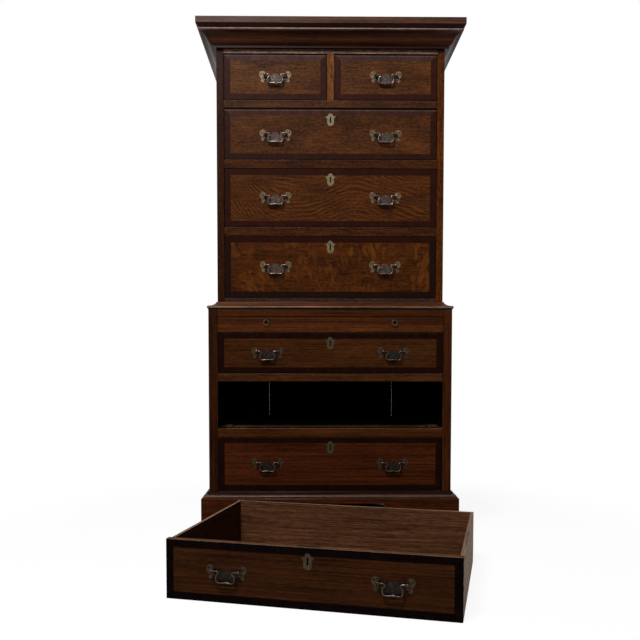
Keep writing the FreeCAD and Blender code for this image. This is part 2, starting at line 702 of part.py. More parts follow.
def post(x, z):
    """Turned post: collar on the plate, neck, bored knob, and a shank through the front to its nut."""
    centre = Vector(x, -POST_REACH, z)
    collar = rod(COLLAR_R, Vector(x, -PLATE_T, z), Vector(x, -PLATE_T - 1.4, z))
    neck = rod(POST_R, Vector(x, -PLATE_T, z), Vector(x, -POST_REACH + KNOB_R * 0.72, z))
    knob = Part.makeSphere(KNOB_R, centre)
    shank = rod(SHANK_R, Vector(x, -PLATE_T, z), Vector(x, FRONT_T + NUT_T + 2, z))
    bore = rod(BAIL_R + PIN_GAP, centre - Vector(KNOB_R + 1, 0, 0), centre + Vector(KNOB_R + 1, 0, 0))
    whole = collar.fuse([neck, knob, shank]).removeSplitter().cut(bore)
    nut = board(x - NUT / 2, x + NUT / 2, FRONT_T, FRONT_T + NUT_T, z - NUT / 2, z + NUT / 2)
    nut = nut.cut(rod(SHANK_R, Vector(x, FRONT_T - 1, z), Vector(x, FRONT_T + NUT_T + 1, z)))
    return [whole.Solids[0], nut.Solids[0]]


def escutcheon(z):
    """Shield with a knob at its head and a pointed ear on each side, around the keyhole."""
    right = [
        Vector(8.2, 15.0),
        (Vector(12.0, 10.8), Vector(19.5, 12.0)),
        (Vector(15.2, 5.6), Vector(10.8, 0.5)),
        (Vector(12.6, -6.0), Vector(11.4, -13.0)),
    ]
    steps = both_halves(Vector(0, 21.5), right, Vector(0, -23.5), 0, z)
    plate = prism(steps, Vector(0, -SCUTCHEON_T, 0))
    pins = [rod(PIN_R, Vector(0, -3, z + up), Vector(0, 1, z + up)) for up in PIN_RISE]
    return plate.cut([keyhole(z, -SCUTCHEON_T - 1, 1)] + pins).Solids[0]


def lock_case(height):
    """Iron and brass lock let into the back of the front, open at the top for its bolt."""
    y0 = FRONT_T - LOCK_T
    case = board(-LOCK_W / 2, LOCK_W / 2, y0, FRONT_T, height - LOCK_H, height)
    half_w = BOLT_W / 2 + BOLT_GAP
    half_t = BOLT_T / 2 + BOLT_GAP
    mid_y = FRONT_T - LOCK_T / 2
    way = board(-half_w, half_w, mid_y - half_t, mid_y + half_t, height - BOLT_H - BOLT_GAP, height + 1)
    return case.cut(way).Solids[0]


def lock_bolt(height):
    mid_y = FRONT_T - LOCK_T / 2
    top = height - BOLT_GAP
    return board(-BOLT_W / 2, BOLT_W / 2, mid_y - BOLT_T / 2, mid_y + BOLT_T / 2, height - BOLT_H, top)


def make_drawer(name, open_w, open_h, depth, handles, rise, locked, place):
    """All nodes of one drawer: built with its front at Y = 0 and its foot at Z = 0, then placed."""
    half_w = open_w / 2 - SIDE_GAP
    height = open_h - TOP_GAP - RUN_GAP
    post_z = height / 2 + rise
    nodes = {
        name + "_front": drawer_front(half_w, height, handles, post_z, locked),
        name + "_box": drawer_box(half_w, height, depth),
    }
    brasses = []
    for x in handles:
        brasses.append(back_plate(x, post_z))
        brasses += post(x - POST_SPACING / 2, post_z)
        brasses += post(x + POST_SPACING / 2, post_z)
    if locked:
        brasses.append(escutcheon(height - SCUTCHEON_DROP))
        brasses.append(lock_case(height))
        nodes[name + "_lock_bolt"] = [lock_bolt(height)]
    nodes[name + "_brasses"] = brasses
    labels = ("_bail",) if len(handles) == 1 else ("_bail_left", "_bail_right")
    for x, label in zip(handles, labels):
        nodes[name + label] = [bail(x, post_z)]
    for solids in nodes.values():
        for solid in solids:
            solid.Placement = place.multiply(solid.Placement)
    return nodes


def in_case(x, front, z):
    """Where a closed drawer stands: on its runners, flush with the front."""
    return Placement(Vector(x, front, z + RUN_GAP), Rotation())


# ---- brushing slide ----------------------------------------------------------------------------------------

def slide_top():
    return SLIDE_Z + SLIDE_OPEN - TOP_GAP


def brushing_slide():
    """A thin board with a deeper strip along its front edge."""
    half = LOW_OPEN_X - SIDE_GAP
    top = slide_top()
    edge = board(-half, half, 0, SLIDE_EDGE, SLIDE_Z + RUN_GAP, top)
    top_board = board(-half, half, SLIDE_EDGE, SLIDE_BACK_Y, top - SLIDE_T, top)
    holes = []
    for side in (-1, 1):
        at = Vector(side * RING_X, -1, ring_eye_z())
        holes.append(rod(SHANK_R + SHANK_GAP, at, at + Vector(0, SLIDE_EDGE - 4, 0)))
    return [edge.cut(holes).Solids[0], top_board]


def ring_eye_z():
    return SLIDE_Z + SLIDE_OPEN * 0.60


def slide_brasses():
    """For each pull a round plate and a post that ends in an eye."""
    solids = []
    for side in (-1, 1):
        x = side * RING_X
        z = ring_eye_z()
        plate = rod(9.0, Vector(x, 0, z), Vector(x, -SCUTCHEON_T, z))
        plate = plate.cut(rod(SHANK_R + SHANK_GAP, Vector(x, -3, z), Vector(x, 1, z)))
        stem = rod(SHANK_R, Vector(x, SLIDE_EDGE - 6, z), Vector(x, -RING_REACH + EYE_R * 0.8, z))
        eye = rod(EYE_R, Vector(x - EYE_T / 2, -RING_REACH, z), Vector(x + EYE_T / 2, -RING_REACH, z))
        hole_r = RING_WIRE + EYE_GAP
        hole = rod(hole_r, Vector(x - EYE_T, -RING_REACH, z), Vector(x + EYE_T, -RING_REACH, z))
        solids += [plate.Solids[0], stem.fuse(eye).cut(hole).Solids[0]]
    return solids


def ring(side):
    centre = Vector(side * RING_X, -RING_REACH, ring_eye_z() - RING_R)
    return Part.makeTorus(RING_R, RING_WIRE, centre, Vector(0, 1, 0))


# ---- the whole object ----------------------------------------------------------------------------------------

def build():
    nodes = {
        "bracket_base": bracket_base(),
        "base_moulding": base_moulding(),
        "lower_sides": case_sides(LOW_WIDTH / 2, 0, BASE_H, LOW_TOP),
        "lower_face_frame": lower_face_frame(),
        "lower_inner_boards": lower_inner_boards(),
        "lower_back_boards": back_boards(LOW_IN_X, BASE_H, LOW_TOP),
        "waist_moulding": waist_moulding(),
        "upper_sides": case_sides(UP_WIDTH / 2, UP_FRONT, LOW_TOP, UP_TOP),
        "upper_face_frame": upper_face_frame(),
        "upper_inner_boards": upper_inner_boards(),
        "upper_back_boards": back_boards(UP_IN_X, LOW_TOP, UP_TOP),
        "cornice": cornice(),
        "brushing_slide": brushing_slide(),
        "slide_brasses": slide_brasses(),
        "slide_ring_left": [ring(-1)],
        "slide_ring_right": [ring(1)],
    }
    low_depth = DRAWER_BACK_Y
    up_depth = DRAWER_BACK_Y - UP_FRONT
    low_handles = (-LONG_HANDLE_X, LONG_HANDLE_X)
    up_handles = (-UP_HANDLE_X, UP_HANDLE_X)
    long_low = 2 * LOW_OPEN_X
    long_up = 2 * UP_OPEN_X
    turn = Rotation(Vector(0, 0, 1), -LOOSE_TURN)
    on_floor = Placement(Vector(LOOSE_X, LOOSE_Y, 0), turn)
    rise = HANDLE_RISE
    drawers = [
        ("short_left", SHORT_OPEN_W, SHORT_OPEN, up_depth, (0,), rise, False,
         in_case(-SHORT_X, UP_FRONT, SHORT_Z)),
        ("short_right", SHORT_OPEN_W, SHORT_OPEN, up_depth, (0,), rise, False,
         in_case(SHORT_X, UP_FRONT, SHORT_Z)),
        ("upper_top", long_up, UP_TOP_OPEN, up_depth, up_handles, TOP_HANDLE_RISE, True,
         in_case(0, UP_FRONT, UP_TOP_Z)),
        ("upper_middle", long_up, UP_MIDDLE_OPEN, up_depth, up_handles, rise, True,
         in_case(0, UP_FRONT, UP_MIDDLE_Z)),
        ("upper_bottom", long_up, UP_BOTTOM_OPEN, up_depth, up_handles, rise, True,
         in_case(0, UP_FRONT, UP_BOTTOM_Z)),
        ("lower_top", long_low, TOP_OPEN, low_depth, low_handles, rise, True, in_case(0, 0, TOP_Z)),
        ("loose", long_low, MIDDLE_OPEN, low_depth, low_handles, rise, True, on_floor),
        ("lower_bottom", long_low, BOTTOM_OPEN, low_depth, low_handles, rise, True, in_case(0, 0, BOTTOM_Z)),
    ]
    for drawer in drawers:
        nodes.update(make_drawer(*drawer))
    return nodes


os.makedirs("parts", exist_ok=True)
for node_name, node_solids in build().items():
    save(node_name, node_solids)
    print(node_name, len(node_solids), "solids")
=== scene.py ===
# %% [markdown]
# # Chest on chest: the looks
# The frame holds every board, drawer and brass of the chest as plain CAD pieces, already in place and
# grouped into the bodies that move. This lesson dresses them. Each wooden piece is taken apart into its
# boards, because on the real chest every board has a grain of its own that runs along its length.

# %% Load the frame
import math
import random

import bmesh
import bpy
from mathutils import Matrix, Vector


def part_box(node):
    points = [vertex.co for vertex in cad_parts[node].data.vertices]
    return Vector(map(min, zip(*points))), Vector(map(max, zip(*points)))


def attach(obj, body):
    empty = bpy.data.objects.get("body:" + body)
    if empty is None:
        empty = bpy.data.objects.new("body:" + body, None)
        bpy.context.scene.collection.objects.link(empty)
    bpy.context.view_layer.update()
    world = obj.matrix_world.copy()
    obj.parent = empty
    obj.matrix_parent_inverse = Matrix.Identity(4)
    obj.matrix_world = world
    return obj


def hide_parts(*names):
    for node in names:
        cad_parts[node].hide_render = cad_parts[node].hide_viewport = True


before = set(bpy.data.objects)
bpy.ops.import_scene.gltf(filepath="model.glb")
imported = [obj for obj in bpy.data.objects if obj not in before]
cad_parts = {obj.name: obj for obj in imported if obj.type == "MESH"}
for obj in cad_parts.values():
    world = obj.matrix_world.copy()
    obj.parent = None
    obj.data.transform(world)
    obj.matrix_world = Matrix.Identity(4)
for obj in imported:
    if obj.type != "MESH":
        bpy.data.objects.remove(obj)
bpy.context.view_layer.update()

MM = 0.001
random.seed(1760)

# %% [markdown]
# ## Colours and nodes
# Finishers name colours, so the values below are the usual six-digit ones. The shader works with
# linear light, and one function turns one into the other. A second function adds a node with its
# settings and links, so that each material reads as a list of steps.

# %% Helpers for materials
def linear(code):
    """Six-digit colour to linear red, green, blue and alpha."""
    channels = [int(code[i:i + 2], 16) / 255 for i in (0, 2, 4)]
    return tuple(c / 12.92 if c <= 0.04045 else ((c + 0.055) / 1.055) ** 2.4 for c in channels) + (1.0,)


def add(tree, kind, inputs=None, stops=(), **settings):
    """A new node. inputs maps a socket's name or number to a value, a socket, or a node (its first
    output); stops are the places and colours of a colour ramp."""
    node = tree.nodes.new(kind)
    for key, value in settings.items():
        setattr(node, key, value)
    for key, value in (inputs or {}).items():
        if isinstance(value, bpy.types.Node):
            value = value.outputs[0]
        if isinstance(value, bpy.types.NodeSocket):
            tree.links.new(value, node.inputs[key])
        else:
            node.inputs[key].default_value = value
    for place, shade in stops[2:]:
        node.color_ramp.elements.new(place)
    for element, (place, shade) in zip(node.color_ramp.elements if stops else (), stops):
        element.position = place
        element.color = (shade, shade, shade, 1) if isinstance(shade, float) else shade
    return node


def new_material(name):
    """An empty material, its tree and its output node."""
    material = bpy.data.materials.new(name)
    material.use_nodes = True
    material.node_tree.nodes.clear()
    return material, material.node_tree, material.node_tree.nodes.new("ShaderNodeOutputMaterial")


print("the half tone 808080 is", round(linear("808080")[0], 3), "in linear light")

# %% [markdown]
# ## Wood
# A board's look has a few layers: fibres some millimetres wide and many times as long, finer lines
# between them, soft clouds where stain soaked in unevenly, and open pores filled with dark wax. Each
# layer is one noise, drawn out by its size along, across and through the board, in real millimetres.
# The boards carry the attributes, made further down: "grain" is the place in the board in metres,
# "luck" three random numbers that set boards apart, "stain" the colour the board took, and "worn" marks
# edges rubbed by hands.

# %% Fibres
# Each layer: size along, across and through the board, weight, detail.
FIBRES = [((70, 8, 8), 0.9, 3.0), ((110, 3.5, 3.5), 1.2, 2.0), ((140, 50, 50), 1.0, 2.0),
          ((12, 5, 5), 1.6, 1.0)]
SPECKLED = [((60, 8, 8), 0.6, 3.0), ((80, 3.5, 3.5), 1.1, 2.0), ((150, 70, 70), 1.2, 2.0),
            ((11, 5, 5), 1.4, 1.0)]
LINED = [((260, 8, 8), 0.7, 3.0), ((300, 3.5, 3.5), 1.7, 2.0), ((220, 70, 70), 0.8, 2.0),
         ((24, 5, 5), 0.9, 1.0)]
CLOSE = [((60, 6, 6), 0.4, 3.0), ((70, 30, 30), 0.8, 2.0), ((9, 6, 6), 0.7, 1.0)]


def streaks(tree, place, size, detail=2.0, distortion=0.0):
    """Noise drawn out to a size in millimetres along, across and through the board."""
    squeezed = add(tree, "ShaderNodeVectorMath", {0: place, 1: size}, operation="DIVIDE")
    return add(tree, "ShaderNodeTexNoise", {
        "Vector": squeezed, "Scale": 1.0, "Detail": detail, "Distortion": distortion})


def fibres(tree, place, layers):
    """The tone of plain wood, around a half, and the last and most spotted of its layers."""
    tone = 0.5
    for size, weight, detail in layers:
        spots = streaks(tree, place, size, detail)
        swing = add(tree, "ShaderNodeMath", {0: spots, 1: -0.5}, operation="ADD")
        tone = add(tree, "ShaderNodeMath", {0: swing, 1: weight, 2: tone}, operation="MULTIPLY_ADD")
    return tone, spots


print("layers in plain oak:", len(FIBRES))

# %% [markdown]
# ## Figure
# What the saw makes of a log depends on how it goes through. Nearly along the rings it leaves tall
# arches, across them the rings themselves, and along the rays, which run out from the heart, it lays
# bare pale flakes. A picture of such wood would repeat and stretch, so each figure is a formula of the
# place in the board, bent a little by noise, and keeps its real size on a long board and a short one.

# %% Arches
ARCH_PITCH = 15.0        # from one pale line to the next
ARCH_BENDS = 42.0        # how far noise bends them
WANDER = (160, 60, 60)   # the size of the bends


def arch_lines(tree, tone, here, place, arches):
    """Pale lines that climb over bells; arches lists (place along the board, half width, height)."""
    tone = add(tree, "ShaderNodeMath", {0: tone, 1: 0.8, 2: 0.07}, operation="MULTIPLY_ADD")
    wander = streaks(tree, place, WANDER, 3.0)
    level = add(tree, "ShaderNodeMath", {0: wander, 1: ARCH_BENDS, 2: here.outputs[1]},
                operation="MULTIPLY_ADD")
    for centre, half_width, height in arches:
        off = add(tree, "ShaderNodeMath", {0: here, 1: centre}, operation="SUBTRACT")
        off = add(tree, "ShaderNodeMath", {0: off, 1: half_width}, operation="DIVIDE")
        off = add(tree, "ShaderNodeMath", {0: off, 1: off}, operation="MULTIPLY")
        off = add(tree, "ShaderNodeMath", {0: off, 1: -1.0}, operation="MULTIPLY")
        bell = add(tree, "ShaderNodeMath", {0: off}, operation="EXPONENT")
        level = add(tree, "ShaderNodeMath", {0: bell, 1: -height, 2: level}, operation="MULTIPLY_ADD")
    phase = add(tree, "ShaderNodeMath", {0: level, 1: 2 * math.pi / ARCH_PITCH}, operation="MULTIPLY")
    wave = add(tree, "ShaderNodeMath", {0: phase}, operation="SINE")
    wave = add(tree, "ShaderNodeMapRange", {0: wave, 1: 0.2, 2: 1.0, 3: -0.12, 4: 0.6})
    # In some patches the lines are strong, in others they are nearly lost.
    patch = streaks(tree, place, (85, 26, 26))
    patch = add(tree, "ShaderNodeMapRange", {0: patch, 1: 0.40, 2: 0.66, 3: 0.1, 4: 1.3})
    return add(tree, "ShaderNodeMath", {0: wave, 1: patch, 2: tone}, operation="MULTIPLY_ADD")


print("pale lines across a 150 mm field:", round(150 / ARCH_PITCH))


# %% Rings
RING_BENDS = 60.0        # how far noise bends the rings
HEART_SPREAD = 120.0     # from board to board the heart's place differs by up to this much
TAPER = 0.02             # a log gets thinner by this much for each millimetre


def ring_lines(tree, tone, here, place, luck, width, depth, heart):
    """Rings as wide as width, by depth paler and darker than the tone. The heart of the log lies behind
    the board by heart, and a point's distance to it gives the ring that it is in."""
    wander = streaks(tree, place, WANDER, 3.0)
    side = add(tree, "ShaderNodeMath", {0: wander, 1: RING_BENDS, 2: here.outputs[1]},
               operation="MULTIPLY_ADD")
    shift = add(tree, "ShaderNodeSeparateXYZ", {0: luck})
    side = add(tree, "ShaderNodeMath", {0: shift, 1: HEART_SPREAD, 2: side}, operation="MULTIPLY_ADD")
    side = add(tree, "ShaderNodeMath", {0: side, 1: -(RING_BENDS + HEART_SPREAD) / 2}, operation="ADD")
    deep = add(tree, "ShaderNodeMath", {0: here.outputs[2], 1: heart}, operation="ADD")
    reach = add(tree, "ShaderNodeCombineXYZ", {0: side, 1: deep})
    reach = add(tree, "ShaderNodeVectorMath", {0: reach}, operation="LENGTH")
    slope = add(tree, "ShaderNodeMath", {0: here, 1: TAPER, 2: reach.outputs["Value"]},
                operation="MULTIPLY_ADD")
    turn = add(tree, "ShaderNodeMath", {0: slope, 1: 1.0 / width}, operation="MULTIPLY")
    turn = add(tree, "ShaderNodeMath", {0: turn}, operation="FRACT")
    turn = add(tree, "ShaderNodeMapRange", {0: turn, 3: depth / 2, 4: -depth / 2},
               interpolation_type="SMOOTHSTEP")
    return add(tree, "ShaderNodeMath", {0: turn, 1: tone}, operation="ADD")


print("a board 2 m long crosses", round(2000 * TAPER), "mm of rings")

# %% Flakes
LEAN = 1.35              # how far a flake in the middle leans from the grain, in radians,
FAN = 0.0016             # and how much more for each millimetre along the board
FLAKE = (2.7, 2.9, 2.6)  # its colour, as multiples of the stain


def ray_flakes(tree, colour, here, place, millimetres, stain, strength):
    """Pale shining flakes that lie across the grain, in drifts. They fan out: upright in the middle of
    the board and leaning towards its ends."""
    lean = add(tree, "ShaderNodeMath", {0: here, 1: FAN, 2: LEAN}, operation="MULTIPLY_ADD")
    turned = add(tree, "ShaderNodeVectorRotate", {0: millimetres, "Angle": lean}, rotation_type="Z_AXIS")
    ray = streaks(tree, turned, (66, 25, 30), distortion=1.3)
    ray = add(tree, "ShaderNodeMapRange", {0: ray, 1: 0.47, 2: 0.72, 3: 0.0, 4: strength})
    drift = streaks(tree, place, (150, 85, 85))
    drift = add(tree, "ShaderNodeMapRange", {0: drift, 1: 0.42, 2: 0.58, 3: 0.05, 4: 1.0})
    amount = add(tree, "ShaderNodeMath", {0: ray, 1: drift}, operation="MULTIPLY")
    pale = add(tree, "ShaderNodeVectorMath", {0: stain, 1: FLAKE}, operation="MULTIPLY")
    return add(tree, "ShaderNodeMix", {0: amount, 6: colour, 7: pale}, data_type="RGBA").outputs[2]


print("a flake in the middle leans by", round(math.degrees(LEAN)), "degrees")

# %% [markdown]
# ## Painted shadow and wear
# Below each handle a nearly black spot is painted, as the shadow of its bail. On the edges that hands and
# drawers rub, the wax is gone and the wood shows pale. Both are masks between two colours: one around a
# point, the other from the attribute of the rounded edges, broken up by noise.

# %% Painted shadow under the handles
BAIL_SHADOW_DROP = 27.0             # the painted shadow of the bails lies this far below the middle of a field
BAIL_SHADOW_REACH = (27, 11)    # and spreads this far sideways and up


def painted_bail_shadow(tree, colour, here, stain, handles):
    """Painted shadows of the bails: dark spots under two handles that sit as far as handles from the middle.
    """
    off = add(tree, "ShaderNodeMath", {0: here}, operation="ABSOLUTE")
    off = add(tree, "ShaderNodeMath", {0: off, 1: -handles}, operation="ADD")
    off = add(tree, "ShaderNodeMath", {0: off, 1: 1 / BAIL_SHADOW_REACH[0]}, operation="MULTIPLY")
    fall = add(tree, "ShaderNodeMath", {0: here.outputs[1], 1: BAIL_SHADOW_DROP}, operation="ADD")
    fall = add(tree, "ShaderNodeMath", {0: fall, 1: 1 / BAIL_SHADOW_REACH[1]}, operation="MULTIPLY")
    away = add(tree, "ShaderNodeCombineXYZ", {0: off, 1: fall})
    away = add(tree, "ShaderNodeVectorMath", {0: away}, operation="LENGTH")
    shadow_mask = add(tree, "ShaderNodeMapRange", {0: away.outputs["Value"], 1: 0.4, 2: 1.4, 3: 1.0, 4: 0.0},
                 interpolation_type="SMOOTHSTEP")
    shadow_colour = add(tree, "ShaderNodeVectorMath", {0: stain, "Scale": 0.12}, operation="SCALE")
    return add(tree, "ShaderNodeMix", {0: shadow_mask, 6: colour, 7: shadow_colour}, data_type="RGBA").outputs[2]


print("a dark spot under a handle is", 2 * BAIL_SHADOW_REACH[0], "mm wide")


# %% Rubbed wood
def rubbed_through(tree, here, place, spots, worn, wear, scuffs):
    """How far the wax is gone: along worn edges, and in scuffs of (place along, half width, strength)."""
    rub = streaks(tree, place, (40, 25, 25))
    rub = add(tree, "ShaderNodeMapRange", {0: rub, 1: 0.35, 2: 0.65, 3: 0.2 * wear, 4: wear})
    rub = add(tree, "ShaderNodeMath", {0: rub, 1: worn}, operation="MULTIPLY")
    for centre, half_width, strength in scuffs:
        off = add(tree, "ShaderNodeMath", {0: here, 1: centre}, operation="SUBTRACT")
        off = add(tree, "ShaderNodeMath", {0: off}, operation="ABSOLUTE")
        near = add(tree, "ShaderNodeMapRange", {0: off, 1: half_width, 2: 0.0, 3: 0.0, 4: strength})
        broken = add(tree, "ShaderNodeMapRange", {0: spots, 1: 0.45, 2: 0.6, 3: 0.1, 4: 1.0})
        near = add(tree, "ShaderNodeMath", {0: near, 1: broken}, operation="MULTIPLY")
        rub = add(tree, "ShaderNodeMath", {0: rub, 1: near}, operation="MAXIMUM")
    return rub


# %% [markdown]
# ## A whole wooden finish
# One function puts the layers together in the order in which the real ones lie: wood, figure, pores,
# polish, wear. The stain is multiplied with the tone, so one finish serves boards of many colours. The
# fibres also lift the surface by a fraction of a millimetre, so that low light catches them.

# %% Wooden finish
# Pores of oak are 0.3 mm wide and too fine to show here, so they are drawn four times as coarse.
PORES = (17, 1.2, 1.2)
APART = (900, 700, 500)  # luck moves the pattern of a board by up to this much
BARE = (2.6, 2.6, 2.7)   # rubbed wood, as multiples of the stain,
DUST = (0.012, 0.010, 0.008)     # and the grey that is added to it
# Dark, plain and pale wood, as shares of twice the stain.
TONES = [(0.0, (0.20, 0.17, 0.15, 1)), (0.5, (0.5, 0.5, 0.5, 1)), (1.0, (0.95, 0.90, 0.72, 1))]


def wood(name, layers=FIBRES, pores=0.3, rough=0.4, gloss=0.03, wear=0.5, arches=(), flakes=0.0,
         ring_width=0.0, ring_depth=0.0, heart=70.0, scuffs=(), handles=None):
    """A finish of oak or mahogany, with sizes in millimetres. pores, wear, flakes and ring_depth are
    strengths, rough is the roughness of the polish, and gloss how much of it mirrors."""
    material, tree, out = new_material(name)
    grain = add(tree, "ShaderNodeAttribute", attribute_name="grain").outputs["Vector"]
    millimetres = add(tree, "ShaderNodeVectorMath", {0: grain, "Scale": 1000.0}, operation="SCALE")
    luck = add(tree, "ShaderNodeAttribute", attribute_name="luck").outputs["Vector"]
    stain = add(tree, "ShaderNodeAttribute", attribute_name="stain").outputs["Vector"]
    worn = add(tree, "ShaderNodeAttribute", attribute_name="worn").outputs["Fac"]
    place = add(tree, "ShaderNodeVectorMath", {0: luck, 1: APART, 2: millimetres},
                operation="MULTIPLY_ADD")
    here = add(tree, "ShaderNodeSeparateXYZ", {0: millimetres})
    relief, spots = fibres(tree, place, layers)
    tone = relief
    if arches:
        tone = arch_lines(tree, tone, here, place, arches)
    if ring_depth:
        tone = ring_lines(tree, tone, here, place, luck, ring_width, ring_depth, heart)
    depth = add(tree, "ShaderNodeValToRGB", {0: tone}, stops=TONES)
    colour = add(tree, "ShaderNodeVectorMath", {0: depth, 1: stain}, operation="MULTIPLY")
    colour = add(tree, "ShaderNodeVectorMath", {0: colour, "Scale": 2.0}, operation="SCALE")
    if flakes:
        colour = ray_flakes(tree, colour, here, place, millimetres, stain, flakes)
    dash = streaks(tree, place, PORES, 1.0)
    pore = add(tree, "ShaderNodeMapRange", {0: dash, 1: 0.56, 2: 0.66, 3: 0.0, 4: pores})
    black = add(tree, "ShaderNodeVectorMath", {0: stain, "Scale": 0.3}, operation="SCALE")
    colour = add(tree, "ShaderNodeMix", {0: pore, 6: colour, 7: black}, data_type="RGBA").outputs[2]
    # Under the handles, the painted shadow of the bails.
    if handles is not None:
        colour = painted_bail_shadow(tree, colour, here, stain, handles)
    rub = rubbed_through(tree, here, place, spots, worn, wear, scuffs)
    bare = add(tree, "ShaderNodeVectorMath", {0: stain, 1: BARE, 2: DUST}, operation="MULTIPLY_ADD")
    colour = add(tree, "ShaderNodeMix", {0: rub, 6: colour, 7: bare}, data_type="RGBA").outputs[2]
    sheen = add(tree, "ShaderNodeMapRange", {0: relief, 1: 0.0, 2: 1.0, 3: rough + 0.06, 4: rough - 0.06})
    height = add(tree, "ShaderNodeMath", {0: pore, 1: -1.0, 2: relief}, operation="MULTIPLY_ADD")
    bump = add(tree, "ShaderNodeBump", {"Height": height, "Strength": 0.2, "Distance": 0.3 * MM})
    shader = add(tree, "ShaderNodeBsdfPrincipled", {
        "Base Color": colour, "Roughness": sheen, "Normal": bump, "Specular IOR Level": gloss})
    tree.links.new(shader.outputs[0], out.inputs[0])
    return material


print("pores are drawn", PORES[1], "mm wide")

# %% [markdown]
# ## The woods of this chest
# Oak and mahogany, each as it was cut and finished. Fronts were polished most, the lower case less, the
# linings never, and inside the cases there is only dust, painted near-black as the shade in there.

# %% Woods
HANDLES_UP = 197         # from the middle of a long front to a handle, in the upper case
HANDLES_LOW = 226        # and in the lower case

# Stiles and rails: oak, sawn through and waxed. It shines softly, and its fibres are lively.
OAK = wood("oak, waxed")
# Fields of short-grained oak, which look speckled. A short drawer's one handle sits in the middle.
OAK_SPECKLED = wood("oak, speckled field", SPECKLED, pores=0.15, handles=HANDLES_UP)
OAK_SHORT = wood("oak, speckled field of a short drawer", SPECKLED, pores=0.15, handles=0)
# Straight-grained oak, lined and duller, because less wax got down there.
OAK_LINED = wood("oak, straight field", LINED, gloss=0.015, handles=HANDLES_LOW)
OAK_LOW = wood("oak, waxed, lower case", LINED, gloss=0.015)
# One field shows arches, the next one the pale flakes of quarter-sawn oak.
OAK_ARCHED = wood("oak, arched field", arches=[(95, 120, 62), (-400, 130, 170), (440, 110, -34)],
                  handles=HANDLES_UP)
OAK_FLAKED = wood("oak, quarter-sawn field", flakes=1.0, handles=HANDLES_UP)
# Mahogany cut across the grain: dark, red, and close in its pores.
BANDING = wood("mahogany, crossbanded", CLOSE, pores=0.25, wear=0.1)
BANDING_LOW = wood("mahogany, crossbanded, lower drawers", CLOSE, pores=0.25, gloss=0.008, wear=0.1)
# Mouldings were scraped, then rubbed with wax every year, and shine the most.
MOULDED = wood("oak, moulded and waxed", LINED, rough=0.32, gloss=0.06)
# Where a drawer slides in and out, the wax is gone and two dull scuffs are left.
SCUFFED = wood("oak, scuffed by the drawer", gloss=0.0, scuffs=[(-330, 55, 0.7), (365, 45, 0.5)])
# The sides are wide boards that show their rings.
SIDE_OAK = wood("oak, waxed sides", ring_width=11.0, ring_depth=0.4, heart=90.0)
# Drawer linings were never polished; they have gone brown with age, and are matt.
LINING = wood("oak, unpolished linings", LINED, ring_width=10.0, ring_depth=0.25, rough=0.75, gloss=0.02,
              wear=0.6)
# Inside the case no light or wax ever reached the wood: black with dust and old stain, and so dark that it
# also paints the shade in there.
INNER = wood("inner boards, dusty, painted shade", rough=0.9, gloss=0.0, wear=0.0)
# The back was left as it came from the saw, so it is dull and its rings are plain to see.
BACK = wood("back boards, rough", ring_width=12.0, ring_depth=0.5, rough=0.85, gloss=0.02)
# The outsides of a drawer are worn smooth by the guides, and gleam a little.
SIDE_LINING = wood("oak, drawer sides, bare", LINED, rough=0.6, wear=0.3)
print("wood finishes:", len(bpy.data.materials))

# %% [markdown]
# ## Stains
# Oak and mahogany drink stain unevenly and fade where light falls, so no two boards of an old chest are
# alike. Every board, or face of a moulding, gets one colour out of this list. Some of them also paint light
# and shade: pale edges, beads and noses are painted highlights, and dark seams, soffits and insides are
# painted shade. A band has one more for its pale upper edge, a painted highlight that is partly rubbing,
# and in the upper case another one for its faded top strip.

# %% Stains
STAINS = {
    # Mouldings, from the top down
    # The soffit and the cornice foot are painted dark as shade; the cornice bead, the waist nose and the base
    # ovolo are painted pale as highlights, partly as rubbing.
    "fascia": "3A241A", "soffit": "240903", "cornice bead": "6B5853", "cove": "401F0E",
    "cornice foot": "1E0C04", "waist": "432110", "waist nose": "615248", "base ovolo": "493429",
    "base": "341C16", "base bead": "331C10", "plinth": "361708",
    # Upper case
    # The head rail is painted paler, as light against the shadow of the cornice.
    "head rail": "5B453B", "rail 1": "341D0E", "rail 2": "2E1608", "rail 3": "311808",
    "foot rail": "2C1D17", "upper stile left": "220E04", "upper stile right": "3C1C06",
    "middle stile": "512F14",
    # Lower case
    "under waist": "341909", "slide": "34190A", "rail 4": "40200D", "rail 5": "391F0F", "rail 6": "3A1D0A",
    # The top of rail 6 is painted dark as shade, and its edge pale as a highlight and as wear.
    "rail 6 top": "0E0906", "rail 6 edge": "6A503C", "runner": "3A2A1E", "lower stile left": "261106",
    "lower stile right": "311708",
    # Fields of the fronts
    "short left": "3A200E", "short right": "3D2210", "long 1": "381E0D", "long 2": "391D09",
    "long 3": "341805", "low 1": "341B0A", "low 2": "371809", "loose": "2F180A",
    # Bands of the fronts
    # Each edge stain paints a highlight on a band's upper edge, together with its rubbing.
    "short band": "240E08", "short band top": "301F1B", "short band edge": "3F2D27",
    "long 1 band": "210E08", "long 1 band top": "2E1913", "long 1 band edge": "463129",
    "long 2 band": "200A04", "long 2 band top": "200A04", "long 2 band edge": "241410",
    "long 3 band": "160704", "long 3 band top": "1D0702", "long 3 band edge": "20100C",
    "low band": "160805", "low band edge": "3B2A18", "loose band": "0B0505", "loose band edge": "5A483E",
    # Dirt with painted shade, and pale edges of painted highlight and rubbed wood, on the frames
    "dirt, painted shade": "0A0604", "pale edge, painted highlight and wear": "4A3022",
    # Sides, back, linings and what lies inside; the inside is near-black, as dust and painted shade
    "side": "3A2012", "back": "3F2C1D", "top": "5A4534", "inner": "0B0705", "lining": "4C301F",
    "lining edge": "6A564A", "lining outside": "7E674F", "lining shade": "2A150E",
}
print("stains:", len(STAINS))

